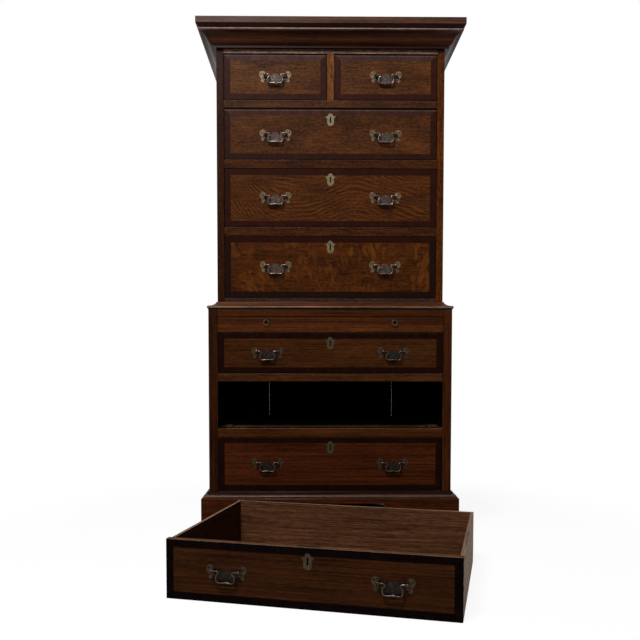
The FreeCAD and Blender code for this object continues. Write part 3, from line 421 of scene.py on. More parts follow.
# %% [markdown]
# ## Old brass
# The handles are cast brass that was lacquered with gold-coloured varnish and has since tarnished: high
# places rubbed by fingers stay yellow, the rest turns brown and grey. One pattern of large soft spots
# mixes the two colours, a fine one makes the cast skin, and the same large pattern sets the roughness.
# Tarnish isn't metal any more, so the plates, which no hand rubs, are set less metallic than the bails.

# %% Old metal
SPOTS = 8.0              # size of the tarnished spots, in millimetres
# The skin of a casting is finer than 0.2 mm and wouldn't show, so it is drawn this coarse.
CAST_SKIN = 1.2
WING_FROM = 30 * MM      # behind its bail a plate is dark up to here from the middle,
WING_TO = 46 * MM        # and from here outwards it is bright
POST_SHADOW_OUT = 35 * MM           # the painted shadow around a post sits this far out
POST_SHADOW_DROP = 3 * MM       # and this far under the middle of the plate


def metal(name, bright, dull, share=0.5, rough=0.38, wings=0.0, metallic=1.0, shine=0.5):
    """wings brightens the parts of a back plate that lie outside the reach of its bail."""
    material, tree, out = new_material(name)
    where = add(tree, "ShaderNodeTexCoord").outputs["Object"]
    spots = add(tree, "ShaderNodeTexNoise", {"Vector": where, "Scale": 1 / (SPOTS * MM), "Detail": 4.0})
    mask = add(tree, "ShaderNodeMapRange", {0: spots, 1: share - 0.14, 2: share + 0.14})
    worn = add(tree, "ShaderNodeAttribute", attribute_name="worn").outputs["Fac"]
    mask = add(tree, "ShaderNodeMath", {0: worn, 1: 0.6, 2: mask}, operation="MULTIPLY_ADD", use_clamp=True)
    if wings:
        spot = add(tree, "ShaderNodeAttribute", attribute_name="spot").outputs["Vector"]
        spot = add(tree, "ShaderNodeSeparateXYZ", {0: spot})
        out_x = add(tree, "ShaderNodeMath", {0: spot}, operation="ABSOLUTE")
        wing = add(tree, "ShaderNodeMapRange", {0: out_x, 1: WING_FROM, 2: WING_TO, 3: -0.3, 4: wings})
        mask = add(tree, "ShaderNodeMath", {0: mask, 1: wing}, operation="ADD", use_clamp=True)
    colour = add(tree, "ShaderNodeMix", {0: mask, 6: linear(dull), 7: linear(bright)}, data_type="RGBA")
    if wings:
        # The plate is painted nearly black around and under the posts, as the shadow of posts and knobs.
        aside = add(tree, "ShaderNodeMath", {0: out_x, 1: -POST_SHADOW_OUT}, operation="ADD")
        under = add(tree, "ShaderNodeMath", {0: spot.outputs[2], 1: POST_SHADOW_DROP}, operation="ADD")
        post_shadow = add(tree, "ShaderNodeCombineXYZ", {0: aside, 1: under})
        post_shadow = add(tree, "ShaderNodeVectorMath", {0: post_shadow}, operation="LENGTH").outputs["Value"]
        post_shadow = add(tree, "ShaderNodeMapRange", {0: post_shadow, 1: 5 * MM, 2: 11 * MM, 3: 0.9, 4: 0.0},
                     interpolation_type="SMOOTHSTEP")
        colour = add(tree, "ShaderNodeMix", {0: post_shadow, 6: colour.outputs[2], 7: linear("080605")},
                     data_type="RGBA")
    skin = add(tree, "ShaderNodeTexNoise", {"Vector": where, "Scale": 1 / (CAST_SKIN * MM), "Detail": 2.0})
    bump = add(tree, "ShaderNodeBump", {"Height": skin, "Strength": 0.3, "Distance": 0.2 * MM})
    sheen = add(tree, "ShaderNodeMapRange", {0: mask, 3: rough + 0.1, 4: rough - 0.04})
    shader = add(tree, "ShaderNodeBsdfPrincipled", {
        "Base Color": colour.outputs[2], "Metallic": metallic, "Roughness": sheen, "Normal": bump,
        "Specular IOR Level": shine})
    tree.links.new(shader.outputs[0], out.inputs[0])
    return material


print("tarnished spots are", SPOTS, "mm wide")

# %% Metals
woods = len(bpy.data.materials)
# Cast plates: yellow at the wings, brown and nearly black behind the bail, where the bail's shade and the
# shadow of the posts are painted.
PLATE_UP = metal("brass plate, tarnished", "5C4C33", "2D2321", share=0.56, wings=0.45, metallic=0.5,
                 shine=0.2)
# The lower case's plates are a darker copy: painted shade as well as darker tarnish.
PLATE_SHADED = metal("brass plate, tarnished, shaded copy", "3C2D1D", "120D0A", share=0.56, wings=0.6, metallic=0.4,
                  shine=0.15)
# Cast bails, rubbed by every hand that opened a drawer: greyer, smoother and quick to catch the light.
BAIL_UP = metal("brass bail, handled", "6A5B50", "3A302A", rough=0.3)
# The lower case's bails are a darker copy: painted shade.
BAIL_SHADED = metal("brass bail, shaded copy", "4C4239", "28221D", share=0.48, rough=0.26)
# Cut escutcheons: flat, rubbed with the front, and the yellowest of all.
SCUTCHEON = metal("brass escutcheon, rubbed", "625538", "3E3524", share=0.45, metallic=0.5)
# The lower case's escutcheons are a darker copy: painted shade.
SCUTCHEON_SHADED = metal("brass escutcheon, shaded copy", "3E3523", "231D14", share=0.45, metallic=0.5, shine=0.2)
# Locks, screws and nails: forged iron under rust, rough and nearly black.
IRON = metal("iron lock, rusted", "1E1813", "0C0A08", rough=0.7, metallic=0.4, shine=0.1)
# Small turned rings of the slide: thin, and polished by the fingertips.
RING = metal("brass ring, handled", "5C4E3C", "30261D", rough=0.34)
print("metals:", len(bpy.data.materials) - woods)

# %% [markdown]
# ## Boards out of a CAD node
# A CAD node is a list of loose triangles, one closed solid after the other. Reading them in order, an
# edge that has been met in both directions is closed, and when none is left open a board is complete.
# Each board is merged, its flat faces are made whole again, and its long direction becomes the direction
# of its grain. Then its outer edges are rounded a little, because no plane leaves a true sharp edge, and
# the rounded faces are marked as worn, so that the wax is rubbed through there.

# %% Taking a node apart
SAME = 2e-6              # points nearer than this are one, in metres
FLAT = 0.6               # degrees by which a flat face may bend


def solids_of(node):
    """The separate closed solids of a node, each as a list of triangles of points."""
    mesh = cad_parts[node].data
    points = [tuple(round(c, 7) for c in v.co) for v in mesh.vertices]
    solids, triangles, waiting = [], [], set()
    for face in mesh.polygons:
        corners = [points[i] for i in face.vertices]
        triangles.append(corners)
        for a, b in zip(corners, corners[1:] + corners[:1]):
            if (b, a) in waiting:
                waiting.discard((b, a))
            else:
                waiting.add((a, b))
        if not waiting:
            solids.append(triangles)
            triangles = []
    if triangles:
        solids.append(triangles)
    return solids


def solid_mesh(triangles):
    """A merged bmesh of one solid, with coplanar triangles joined."""
    bm = bmesh.new()
    seen = {}
    for corners in triangles:
        verts = []
        for p in corners:
            if p not in seen:
                seen[p] = bm.verts.new(p)
            verts.append(seen[p])
        if len(set(verts)) == 3 and not bm.faces.get(verts):
            bm.faces.new(verts)
    bmesh.ops.remove_doubles(bm, verts=bm.verts, dist=SAME)
    bmesh.ops.dissolve_limit(bm, angle_limit=math.radians(FLAT), verts=bm.verts, edges=bm.edges)
    return bm


def box_of(points):
    """The lowest and the highest corner of the box around some points."""
    low = Vector([min(p[i] for p in points) for i in range(3)])
    high = Vector([max(p[i] for p in points) for i in range(3)])
    return low, high


print("boards in the lower face frame:", len(solids_of("lower_face_frame")))


# %% Rounded edges
def soften(bm, width, least=28, allowed=None):
    """Round the outer edges, or those of them that are allowed, and return the rounded faces."""
    sharp = [e for e in bm.edges if len(e.link_faces) == 2 and (allowed is None or allowed(e))
             and e.calc_face_angle_signed(0) > math.radians(least)]
    if not sharp:
        return set()
    made = bmesh.ops.bevel(bm, geom=sharp, offset=width, offset_type="OFFSET", segments=2, profile=0.5,
                           affect="EDGES", clamp_overlap=True)
    return set(made["faces"])


def shade(bm, rounded, angle=32):
    """Curved and rounded faces are shaded smooth, flat ones flat, and crisp edges stay crisp."""
    for e in bm.edges:
        e.smooth = len(e.link_faces) != 2 or e.calc_face_angle(0) < math.radians(angle)
    for face in bm.faces:
        curved = any(e.smooth and len(e.link_faces) == 2 and e.calc_face_angle(0) > math.radians(0.7)
                     and not rounded & set(e.link_faces) for e in face.edges)
        face.smooth = face in rounded or curved


sample = solid_mesh(solids_of("brushing_slide")[0])
print("faces of one board, rounded over:", len(soften(sample, 0.3 * MM)))
sample.free()


def link_new(name, data):
    """A new object for a mesh, a lamp or a camera, linked to the scene."""
    thing = bpy.data.objects.new(name, data)
    bpy.context.scene.collection.objects.link(thing)
    return thing


def slot_of(material, slots):
    """A material's number in a list of slots, to which it is added when it is new."""
    if material not in slots:
        slots.append(material)
    return slots.index(material)


def finished(bm, name, slots, node, body):
    """A piece made from a bmesh. It rides a body and stands in for a CAD node."""
    mesh = bpy.data.meshes.new(name)
    bm.to_mesh(mesh)
    bm.free()
    for material in slots:
        mesh.materials.append(material)
    piece = link_new(name, mesh)
    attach(piece, body)
    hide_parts(node)
    return piece


# %% [markdown]
# ## The drawer on the floor
# One drawer is taken out and stands askew in front of the chest. The box of a turned board says little
# about it, so its boards are turned back in thought before they are measured. They aren't moved.

# %% Turned drawer
LOOSE_TURN = math.radians(14.4)
LOOSE_PIVOT = Vector((-77 * MM, -757 * MM, 0))      # the middle of its front, on the floor
STRAIGHTEN = (Matrix.Translation(LOOSE_PIVOT) @ Matrix.Rotation(LOOSE_TURN, 4, "Z")
              @ Matrix.Translation(-LOOSE_PIVOT))
print("drawer on the floor, degrees askew:", round(math.degrees(LOOSE_TURN), 1))

# %% [markdown]
# ## Dressing a wooden node
# A choosing function looks at a board's box and says how it is finished: which material and stain each of
# its faces gets, and whether its grain runs across it, as in crossbanding. Anything that lies deep inside
# the case keeps the dusty finish, which is near-black as painted shade.

# %% Grain and faces of one board
def mark_grain(bm, local, low, high, crossways):
    """Give each corner its place in the board, along, across and through it, and the board its luck."""
    size, middle = high - low, (low + high) / 2
    order = sorted(range(3), key=lambda i: -size[i])
    if crossways:
        order[0], order[1] = order[1], order[0]
    grain = bm.verts.layers.float_vector.new("grain")
    luck = bm.verts.layers.float_vector.new("luck")
    chance = Vector((random.random(), random.random(), random.random()))
    for v in bm.verts:
        p = (local @ v.co) - middle
        v[grain] = Vector([p[i] for i in order])
        v[luck] = chance


def mark_faces(bm, local, finish, rounded, slots):
    """Give each face its material and stain, and say whether it is a worn edge."""
    stain = bm.faces.layers.float_vector.new("stain")
    worn = bm.faces.layers.float.new("worn")
    for face in bm.faces:
        material, colour = finish(local.to_3x3() @ face.normal, local @ face.calc_center_median())
        face[worn] = 1.0 if face in rounded else 0.0
        face[stain] = Vector(linear(STAINS[colour])[:3])
        face.material_index = slot_of(material, slots)


# %% Dress one wooden node
RIM = 0.2 * MM           # an edge this near to a node's rim is part of it
THINNEST = 0.45          # a rounding takes at most this share of a board's thinnest side,
THINNEST_ON_RIM = 0.85   # or this one where only the rim is rounded


def dress_wood(node, name, choose, body, width, straighten=False, rim_only=False, lines=()):
    """choose(low, high) gives a function from a face's normal and middle to material and stain, and
    whether the grain runs across the board. With rim_only, only edges around the whole node's box are
    rounded. Faces are split along the levels in lines, so that a stain can end there."""
    whole = bmesh.new()
    slots = []
    local = STRAIGHTEN if straighten else Matrix.Identity(4)
    boards = solids_of(node)
    rim_low, rim_high = box_of([local @ Vector(p) for triangles in boards for t in triangles for p in t])

    def on_rim(edge):
        ends = [local @ v.co for v in edge.verts]
        return any(abs(ends[0][i] - rim[i]) < RIM and abs(ends[1][i] - rim[i]) < RIM
                   for rim in (rim_low, rim_high) for i in (0, 2))

    for triangles in boards:
        bm = solid_mesh(triangles)
        low, high = box_of([local @ v.co for v in bm.verts])
        for level in lines:
            bmesh.ops.bisect_plane(bm, geom=bm.verts[:] + bm.edges[:] + bm.faces[:],
                                   plane_co=(0, 0, level), plane_no=(0, 0, 1))
        finish, crossways = choose(low, high)
        share = THINNEST_ON_RIM if rim_only else THINNEST
        rounded = soften(bm, min(width, share * min(high - low)), allowed=on_rim if rim_only else None)
        shade(bm, rounded)
        mark_grain(bm, local, low, high, crossways)
        mark_faces(bm, local, finish, rounded, slots)
        board = bpy.data.meshes.new("board")
        bm.to_mesh(board)
        bm.free()
        whole.from_mesh(board)
        bpy.data.meshes.remove(board)
    return finished(whole, name, slots, node, body)


# %% [markdown]
# ## The two cases
# A face frame is told apart by where its boards lie: the tall ones are stiles, the rest are rails, named
# from their height. The mouldings change colour at their beads, which are painted pale as highlights and
# as the rubbing of a duster, and dirt and painted shade lie in the seams around them. Heights are in
# millimetres over the floor.

# %% Face frames
# A rail is the first one whose upper edge lies under its limit.
UPPER_RAILS = [(880, "foot rail"), (1130, "rail 3"), (1370, "rail 2"), (1580, "rail 1"), (1900, "head rail")]
LOWER_RAILS = [(180, "base"), (410, "rail 6"), (610, "rail 5"), (780, "rail 4"), (900, "under waist")]
# Dirt and painted shade along the seams over the top long drawer and the short drawers: lower and upper
# level.
SEAM_SHADE = [(1548.5 * MM, 1551.9 * MM), (1739.5 * MM, 1740.5 * MM)]


def edged(normal, centre, material, stain):
    """A rail is polished in front; its upper edge is painted pale, as a highlight and as rubbing, and its
    lower edge and the seams get dirt and painted shade.
    """
    # Faces turned away from the room are near-black: dust, and painted shade inside the case.
    if normal.y > -0.2:
        return INNER, "inner"
    if normal.z < -0.25 or any(foot < centre.z < head for foot, head in SEAM_SHADE):
        return material, "dirt, painted shade"
    if normal.z > 0.25:
        return material, "dirt, painted shade" if stain == "foot rail" else "pale edge, painted highlight and wear"
    return material, stain


def upper_frame(low, high):
    """Stiles and rails of the upper case; dirt and painted shade lie along the edges of the stiles."""
    if high.z - low.z > high.x - low.x:
        side = "upper stile left" if high.x < 0 else "upper stile right" if low.x > 0 else "middle stile"
        return (lambda normal, centre: (OAK, "dirt, painted shade" if abs(normal.x) > 0.25 else side)), False
    rail = next(name for limit, name in UPPER_RAILS if high.z < limit * MM)
    return (lambda normal, centre: edged(normal, centre, OAK, rail)), False


def lower_frame(low, high):
    """The same for the lower case, where one rail is scuffed by the drawer that was taken out."""
    if high.z - low.z > high.x - low.x:
        side = "lower stile left" if high.x < 0 else "lower stile right"
        # The stiles' faces toward the middle get dirt and painted shade.
        return (lambda normal, centre: (OAK_LOW, "dirt, painted shade" if normal.x * low.x < 0 else side)), False
    rail = next(name for limit, name in LOWER_RAILS if high.z < limit * MM)

    def finish(normal, centre):
        # On rail 6 the top is painted dark, as shade inside the empty opening, and the rounded front edge
        # pale, as a highlight and as wear.
        if rail == "rail 6" and normal.z > 0.25:
            return SCUFFED, "rail 6 top" if normal.z > 0.95 else "rail 6 edge"
        return edged(normal, centre, OAK_LOW, rail)
    return finish, False


print("rails:", len(UPPER_RAILS) + len(LOWER_RAILS))

# %% Mouldings
# The parts of the cornice, each from this height upwards; under the cove lies its foot.
# The soffit and the foot are painted dark, as shade, and the bead pale, as a highlight.
CORNICE = [(1820, "fascia"), (1808.5, "soffit"), (1800.5, "cornice bead"), (1763, "cove")]
CORNICE_ENDS = 410 * MM  # the inner ends of its boards lie this near to the middle
WAIST_FOOT = 836.5       # the waist moulding's nose reaches from here
NOSE_TOP = 842           # to here
WAIST_TOP = 858          # and its polished face to here
BEAD_TOP = 155.5         # the base moulding has a bead at its foot,
OVOLO = (157.5, 166.5)   # an ovolo over that,
BASE_TOP = 169           # and ends in a seam of dirt and painted shade


def cornice_finish(low, high):
    """Waxed where it is seen, in five colours, of which the soffit and the foot are painted shade and the
    bead a painted highlight; dusty, and near-black as painted shade, where it faces the case.
    """
    def finish(normal, centre):
        if normal.y > 0.9 or abs(normal.x) > 0.9 and abs(centre.x) < CORNICE_ENDS:
            return INNER, "inner"
        height = centre.z / MM
        return MOULDED, next((stain for foot, stain in CORNICE if height > foot), "cornice foot")
    return finish, False


def waist_finish(low, high):
    """A polished hollow over a nose painted pale, as a highlight and as rubbing, with dirt and painted shade
    in the seams over and under them; under the nose it stands for its shadow.
    """
    def finish(normal, centre):
        height = centre.z / MM
        if height > WAIST_TOP or height < WAIST_FOOT:
            return MOULDED, "dirt, painted shade"
        return MOULDED, "waist nose" if height < NOSE_TOP else "waist"
    return finish, False


def base_finish(low, high):
    """An ovolo painted pale, as a highlight and as rubbing, and a dark bead; dirt and painted shade lie on
    the top faces and in the seam over it, and the rest has the colour of the base.
    """
    def finish(normal, centre):
        height = centre.z / MM
        if height > BASE_TOP or normal.z > 0.9:
            return MOULDED, "dirt, painted shade"
        if height < BEAD_TOP:
            return MOULDED, "base bead"
        return MOULDED, "base ovolo" if OVOLO[0] < height < OVOLO[1] else "base"
    return finish, False


print("cornice from", CORNICE[-1][0], "mm up, waist at", NOSE_TOP, "mm, base up to", BASE_TOP, "mm")

# %% Sides, backs and inner boards
RUNNERS = (380 * MM, 412 * MM)   # the runners beside the empty opening end between these heights,
RUNNERS_OUT = 300 * MM           # farther out than this
TOP_BOARD = 1720 * MM            # only the board on top of the chest lies over this height


def plain(material, stain):
    """The same finish on every face of every board."""
    return lambda low, high: (lambda normal, centre: (material, stain), False)


def case_side(low, high):
    """Waxed outside; dusty inside, and near-black there as painted shade."""
    outward = 1 if low.x + high.x > 0 else -1

    def finish(normal, centre):
        return (INNER, "inner") if normal.x * outward < -0.5 else (SIDE_OAK, "side")
    return finish, False


def inner_board(low, high):
    """The runners beside the empty opening are rubbed bare by the drawer."""
    runner = RUNNERS[0] < high.z < RUNNERS[1] and min(abs(low.x), abs(high.x)) > RUNNERS_OUT

    def finish(normal, centre):
        return (SCUFFED, "runner") if runner and normal.z > 0.5 else (INNER, "inner")
    return finish, False


def upper_board(low, high):
    """The top of the chest is rough oak under dust."""
    top = low.z > TOP_BOARD
    return (lambda normal, centre: (BACK, "top") if top and normal.z > 0.5 else (INNER, "inner")), False


def case_back(low, high):
    """Rough behind; dusty inside, and near-black there as painted shade."""
    return (lambda normal, centre: (BACK, "back") if normal.y > 0.5 else (INNER, "inner")), False


print("inner boards of the lower case:", len(solids_of("lower_inner_boards")))

# %% [markdown]
# ## Dressing the cases
# Every node of the two cases gets its choosing function and the width of its rounded edges: nearly a
# millimetre on the frames, which hands and drawers have worn, and hardly anything on the back boards.
# A table is enough, since all of them ride the carcase.

# %% Dress the cases
CASES = {
    "bracket_base": (plain(OAK_LOW, "plinth"), 0.5), "base_moulding": (base_finish, 0.3),
    "lower_sides": (case_side, 0.6), "lower_face_frame": (lower_frame, 0.9),
    "lower_inner_boards": (inner_board, 0.5), "lower_back_boards": (case_back, 0.05),
    "waist_moulding": (waist_finish, 0.3),
    "upper_sides": (case_side, 0.6), "upper_face_frame": (upper_frame, 0.9),
    "upper_inner_boards": (upper_board, 0.5), "upper_back_boards": (case_back, 0.05),
    "cornice": (cornice_finish, 0.3),
}
for node, (choose, width) in CASES.items():
    lines = [head for foot, head in SEAM_SHADE] if node == "upper_face_frame" else ()
    piece = dress_wood(node, node.capitalize(), choose, "carcase", width * MM, lines=lines)
    print(piece.name, len(piece.data.polygons), "faces")

# %% [markdown]
# ## Drawers and slide
# A front is a core with four strips of crossbanding; the strips are only two millimetres thick, and that
# is how they are told from the core. Their grain runs across each strip, which is what crossbanding means.
# Faces are split where dirt, painted shade, painted highlight and rubbing end, so that a thin line keeps its
# width on the whole front.

# %% Fronts
STRIP = 3 * MM           # thinner boards than this are crossbanding
FACE = 6 * MM            # a front is polished this far back
DARK_BELOW = 3.6 * MM          # the lower edge of a front is darkened this far up, with dirt and painted shade in the seam
DARK_ABOVE = 3.4 * MM           # and the top of some of them this far down, with dirt and painted shade under the rail
DARK_ABOVE_FRONTS = ("short_left", "short_right", "upper_top")
PALE_LINE = 3.4 * MM        # width of the pale line below that: a painted highlight, and rubbing
FRONT_ROUND = 1.6 * MM   # how far the rim of a front is rounded


def front_finish(rim, dark_above, field, stain, band, band_stain):
    """rim holds the lowest and highest level of the front; its top strip has faded more. The second
    argument is how far down from the top dirt and painted shade darken the front, under the rail over it."""
    def choose(low, high):
        if min(high - low) < STRIP:
            level = high.x - low.x > high.z - low.z
            upper = level and low.z > 0.5 * (rim[0] + rim[1])
            name = band_stain + " top" if upper and band is BANDING else band_stain

            def veneer(normal, centre):
                """The upper edge is painted pale, as a highlight and as rubbing; the other three get dirt and
                painted shade.
                """
                below = rim[1] - centre.z
                if max(abs(normal.x), -normal.z) > 0.25 or centre.z < rim[0] + DARK_BELOW or below < dark_above:
                    return band, "dirt, painted shade"
                return band, band_stain + " edge" if normal.z > 0.25 or dark_above and below < dark_above + PALE_LINE else name
            return veneer, True

        def finish(normal, centre):
            if centre.y > low.y + FACE:
                return LINING, "lining"
            if normal.y < -0.5:
                return field, stain
            # The core's upper edge is painted pale, as a highlight and rubbing; its other edges get dirt and
            # painted shade.
            return (band, band_stain + " edge") if normal.z > 0.5 else (band, "dirt, painted shade")
        return finish, False
    return choose


print("fronts with a darkened seam over them:", len(DARK_ABOVE_FRONTS))

# %% Linings and slide
THICK = 30 * MM          # a drawer's sides are thinner than this, and so is its bottom
LINING_ROUND = 0.5 * MM  # how far edges are rounded in a drawer,
SLIDE_ROUND = 0.3 * MM   # and on the slide


def lining_finish(drawer):
    """Drawer sides are paler outside, where they rub on the guides; one inner side is painted darker, as
    shade.
    """
    middle = sum(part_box(drawer + "_box"), Vector()).x / 2

    def choose(low, high):
        side = high.x - low.x < THICK
        outward = 1 if low.x + high.x > 2 * middle else -1

        def finish(normal, centre):
            if normal.z > 0.5 and high.z - low.z > THICK:
                return LINING, "lining edge"
            if side and normal.x * outward > 0.5:
                return SIDE_LINING, "lining outside"
            return LINING, "lining shade" if side and outward < 0 else "lining"
        return finish, False
    return choose


def slide_finish(low, high):
    """Only the clamp in front of the slide is polished."""
    clamp = high.y - low.y < THICK
    return (lambda normal, centre: (OAK_LOW, "slide") if clamp else (LINING, "lining")), False


print("boards of one drawer:", len(solids_of("upper_top_box")))

# %% Dress the drawers
DRAWERS = {
    "short_left": (OAK_SHORT, "short left", BANDING, "short band"),
    "short_right": (OAK_SHORT, "short right", BANDING, "short band"),
    "upper_top": (OAK_SPECKLED, "long 1", BANDING, "long 1 band"),
    "upper_middle": (OAK_ARCHED, "long 2", BANDING, "long 2 band"),
    "upper_bottom": (OAK_FLAKED, "long 3", BANDING, "long 3 band"),
    "lower_top": (OAK_LINED, "low 1", BANDING_LOW, "low band"),
    "lower_bottom": (OAK_LINED, "low 2", BANDING_LOW, "low band"),
    "loose": (OAK_LINED, "loose", BANDING_LOW, "loose band"),
}
for drawer, finishes in DRAWERS.items():
    straighten = drawer == "loose"
    rim = [corner.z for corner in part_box(drawer + "_front")]
    dark_above = DARK_ABOVE if drawer in DARK_ABOVE_FRONTS else 0
    lines = [rim[0] + DARK_BELOW] + ([rim[1] - dark_above, rim[1] - dark_above - PALE_LINE] if dark_above else [])
    front = dress_wood(drawer + "_front", "Front_" + drawer, front_finish(rim, dark_above, *finishes),
                       drawer + "_drawer", FRONT_ROUND, straighten, rim_only=True, lines=lines)
    lining = dress_wood(drawer + "_box", "Linings_" + drawer, lining_finish(drawer), drawer + "_drawer",
                        LINING_ROUND, straighten)
    print(drawer, len(front.data.polygons), len(lining.data.polygons))

slide = dress_wood("brushing_slide", "Brushing_slide", slide_finish, "brushing_slide", SLIDE_ROUND)
print(slide.name, len(slide.data.polygons))

# %% [markdown]
# ## Brasses
# Plates, posts, nuts and locks are copies of the CAD pieces with their edges eased. The plates are told
# from the rest by their place: they lie within two millimetres of the drawer front. Each corner also
# keeps its place from the middle of its handle, so that a plate can be dark where the bail shades it.

# %% Dress one metal node
EASED = 0.3 * MM         # width of the eased edges


def dress_metal(node, name, choose, body, straighten=False, middles=(), level=0.0):
    """A dressed copy of a metal node; choose(centre) gives the material of a face, middles and level the
    places of the handles along and over the front."""
    bm = solid_mesh([corners for triangles in solids_of(node) for corners in triangles])
    rounded = soften(bm, EASED, 40)
    shade(bm, rounded, 35)
    worn = bm.faces.layers.float.new("worn")
    spot = bm.verts.layers.float_vector.new("spot")
    local = STRAIGHTEN if straighten else Matrix.Identity(4)
    for v in bm.verts:
        p = local @ v.co
        nearest = min(middles, key=lambda x: abs(p.x - x)) if middles else p.x
        v[spot] = Vector((p.x - nearest, 0, p.z - level))
    slots = []
    for face in bm.faces:
        face[worn] = 1.0 if face in rounded else 0.0
        face.material_index = slot_of(choose(local @ face.calc_center_median()), slots)
    return finished(bm, name, slots, node, body)


# %% Dress the brasses of the drawers
LOCK_REACH = 40 * MM     # what lies this near to the middle is escutcheon or lock
BADGE_DEPTH = 2 * MM     # and what lies farther back than this is the lock
PLATE_DEPTH = 2.2 * MM   # a plate and its post's foot lie this near to the front
RISE = 6.5 * MM          # the handles sit this far over the middle of a front,
LOW_RISE = 1.5 * MM      # or this far on the top long drawer

for drawer in DRAWERS:
    low_case = not drawer.startswith(("upper", "short"))
    front_low, front_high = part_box(drawer + "_front")
    if drawer == "loose":
        front_y, middle_x = LOOSE_PIVOT.y, LOOSE_PIVOT.x
    else:
        front_y, middle_x = front_low.y, (front_low.x + front_high.x) / 2
    plate = PLATE_SHADED if low_case else PLATE_UP
    bail_metal = BAIL_SHADED if low_case else BAIL_UP
    badge = SCUTCHEON_SHADED if low_case else SCUTCHEON
    locked = not drawer.startswith("short")

    def choose(centre):
        if locked and abs(centre.x - middle_x) < LOCK_REACH:
            return badge if centre.y < front_y + BADGE_DEPTH else IRON
        return plate if centre.y > front_y - PLATE_DEPTH else bail_metal

    reach = 0 if not locked else (HANDLES_LOW if low_case else HANDLES_UP) * MM
    level = (front_low.z + front_high.z) / 2 + (LOW_RISE if drawer == "upper_top" else RISE)
    piece = dress_metal(drawer + "_brasses", "Brasses_" + drawer, choose, drawer + "_drawer",
                        drawer == "loose", middles=(middle_x - reach, middle_x + reach), level=level)
    print(piece.name, len(piece.data.polygons))
    if locked:
        dress_metal(drawer + "_lock_bolt", "Lock_bolt_" + drawer, lambda centre: IRON, drawer + "_lock_bolt")

# %% Dress the brasses of the slide
dress_metal("slide_brasses", "Slide_brasses", lambda centre: PLATE_SHADED, "brushing_slide")
for side in ("left", "right"):
    piece = dress_metal("slide_ring_" + side, "Slide_ring_" + side, lambda centre: RING, "slide_ring_" + side)
    print(piece.name, len(piece.data.polygons))

# %% [markdown]
# ## Bails
# A bail is a cast bar that follows a line: out of one knob, inwards, down in a swan's neck, across the
# grip and up again. It could be modelled by hand, but a tree of Geometry Nodes is shorter and serves all
# fourteen: it rounds the corners of the line, sweeps a circle along it and lets it swell in the grip,
# where the fingers pull. The sizes are inputs of the tree.

# %% A tree, and how it is run
def new_tree(name, inputs):
    """A tree with named inputs; returns it with its group input and output nodes."""
    tree = bpy.data.node_groups.new(name, "GeometryNodeTree")
    tree.interface.new_socket("Geometry", in_out="INPUT", socket_type="NodeSocketGeometry")
    tree.interface.new_socket("Geometry", in_out="OUTPUT", socket_type="NodeSocketGeometry")
    for label, kind in inputs.items():
        tree.interface.new_socket(label, in_out="INPUT", socket_type="NodeSocket" + kind)
    return tree, tree.nodes.new("NodeGroupInput"), tree.nodes.new("NodeGroupOutput")


def grow(tree, name, points, settings, edges=(), corners=()):
    """Run a tree on points and return the plain mesh that comes out."""
    start = bpy.data.meshes.new(name)
    start.from_pydata(points, edges, [])
    if corners:
        start.attributes.new("corner", "FLOAT", "POINT").data.foreach_set("value", corners)
    thing = link_new(name, start)
    modifier = thing.modifiers.new("Grow", "NODES")
    modifier.node_group = tree
    for item in tree.interface.items_tree:
        if item.in_out == "INPUT" and item.name in settings:
            modifier[item.identifier] = settings[item.name]
    mesh = bpy.data.meshes.new_from_object(thing.evaluated_get(bpy.context.evaluated_depsgraph_get()))
    mesh.name = name
    bpy.data.objects.remove(thing)
    return mesh


# %% The tree of a bail
bail_tree, given, made = new_tree("Swan-neck bail", {
    "Bar Radius": "Float", "Grip Swell": "Float", "Grip Half Width": "Float", "Metal": "Material"})
line = add(bail_tree, "GeometryNodeMeshToCurve", {"Mesh": given.outputs["Geometry"]})
corner = add(bail_tree, "GeometryNodeInputNamedAttribute", {"Name": "corner"}, data_type="FLOAT")
line = add(bail_tree, "GeometryNodeFilletCurve", {
    "Curve": line, "Count": 7, "Radius": corner, "Limit Radius": True}, mode="POLY")
place = add(bail_tree, "ShaderNodeSeparateXYZ", {0: add(bail_tree, "GeometryNodeInputPosition")})
middle = add(bail_tree, "ShaderNodeMath", {0: place}, operation="ABSOLUTE")
middle = add(bail_tree, "ShaderNodeMapRange", {
    0: middle, 1: 0.0, 2: given.outputs["Grip Half Width"], 3: 1.0, 4: 0.0}, interpolation_type="SMOOTHSTEP")
swell = add(bail_tree, "ShaderNodeMath", {0: middle, 1: given.outputs["Grip Swell"], 2: 1.0},
            operation="MULTIPLY_ADD")
ring = add(bail_tree, "GeometryNodeCurvePrimitiveCircle", {
    "Resolution": 18, "Radius": given.outputs["Bar Radius"]})
bar = add(bail_tree, "GeometryNodeCurveToMesh", {
    "Curve": line, "Profile Curve": ring, "Scale": swell, "Fill Caps": True})
bar = add(bail_tree, "GeometryNodeSetShadeSmooth", {0: bar})
bar = add(bail_tree, "GeometryNodeRealizeInstances", {0: bar})
bar = add(bail_tree, "GeometryNodeSetMaterial", {0: bar, "Material": given.outputs["Metal"]})
bail_tree.links.new(bar.outputs[0], made.inputs[0])
print("nodes in the tree of a bail:", len(bail_tree.nodes))

# %% [markdown]
# ## Fourteen bails
# The line is half of a bail, from its pin inwards to the grip, then the middle of the grip, and the same
# half mirrored. Each bail is placed by the box of the CAD bail it stands in for, and rides the body that
# swings on its posts.

# %% Fourteen bails
BAR = 2.3 * MM           # radius of the bar
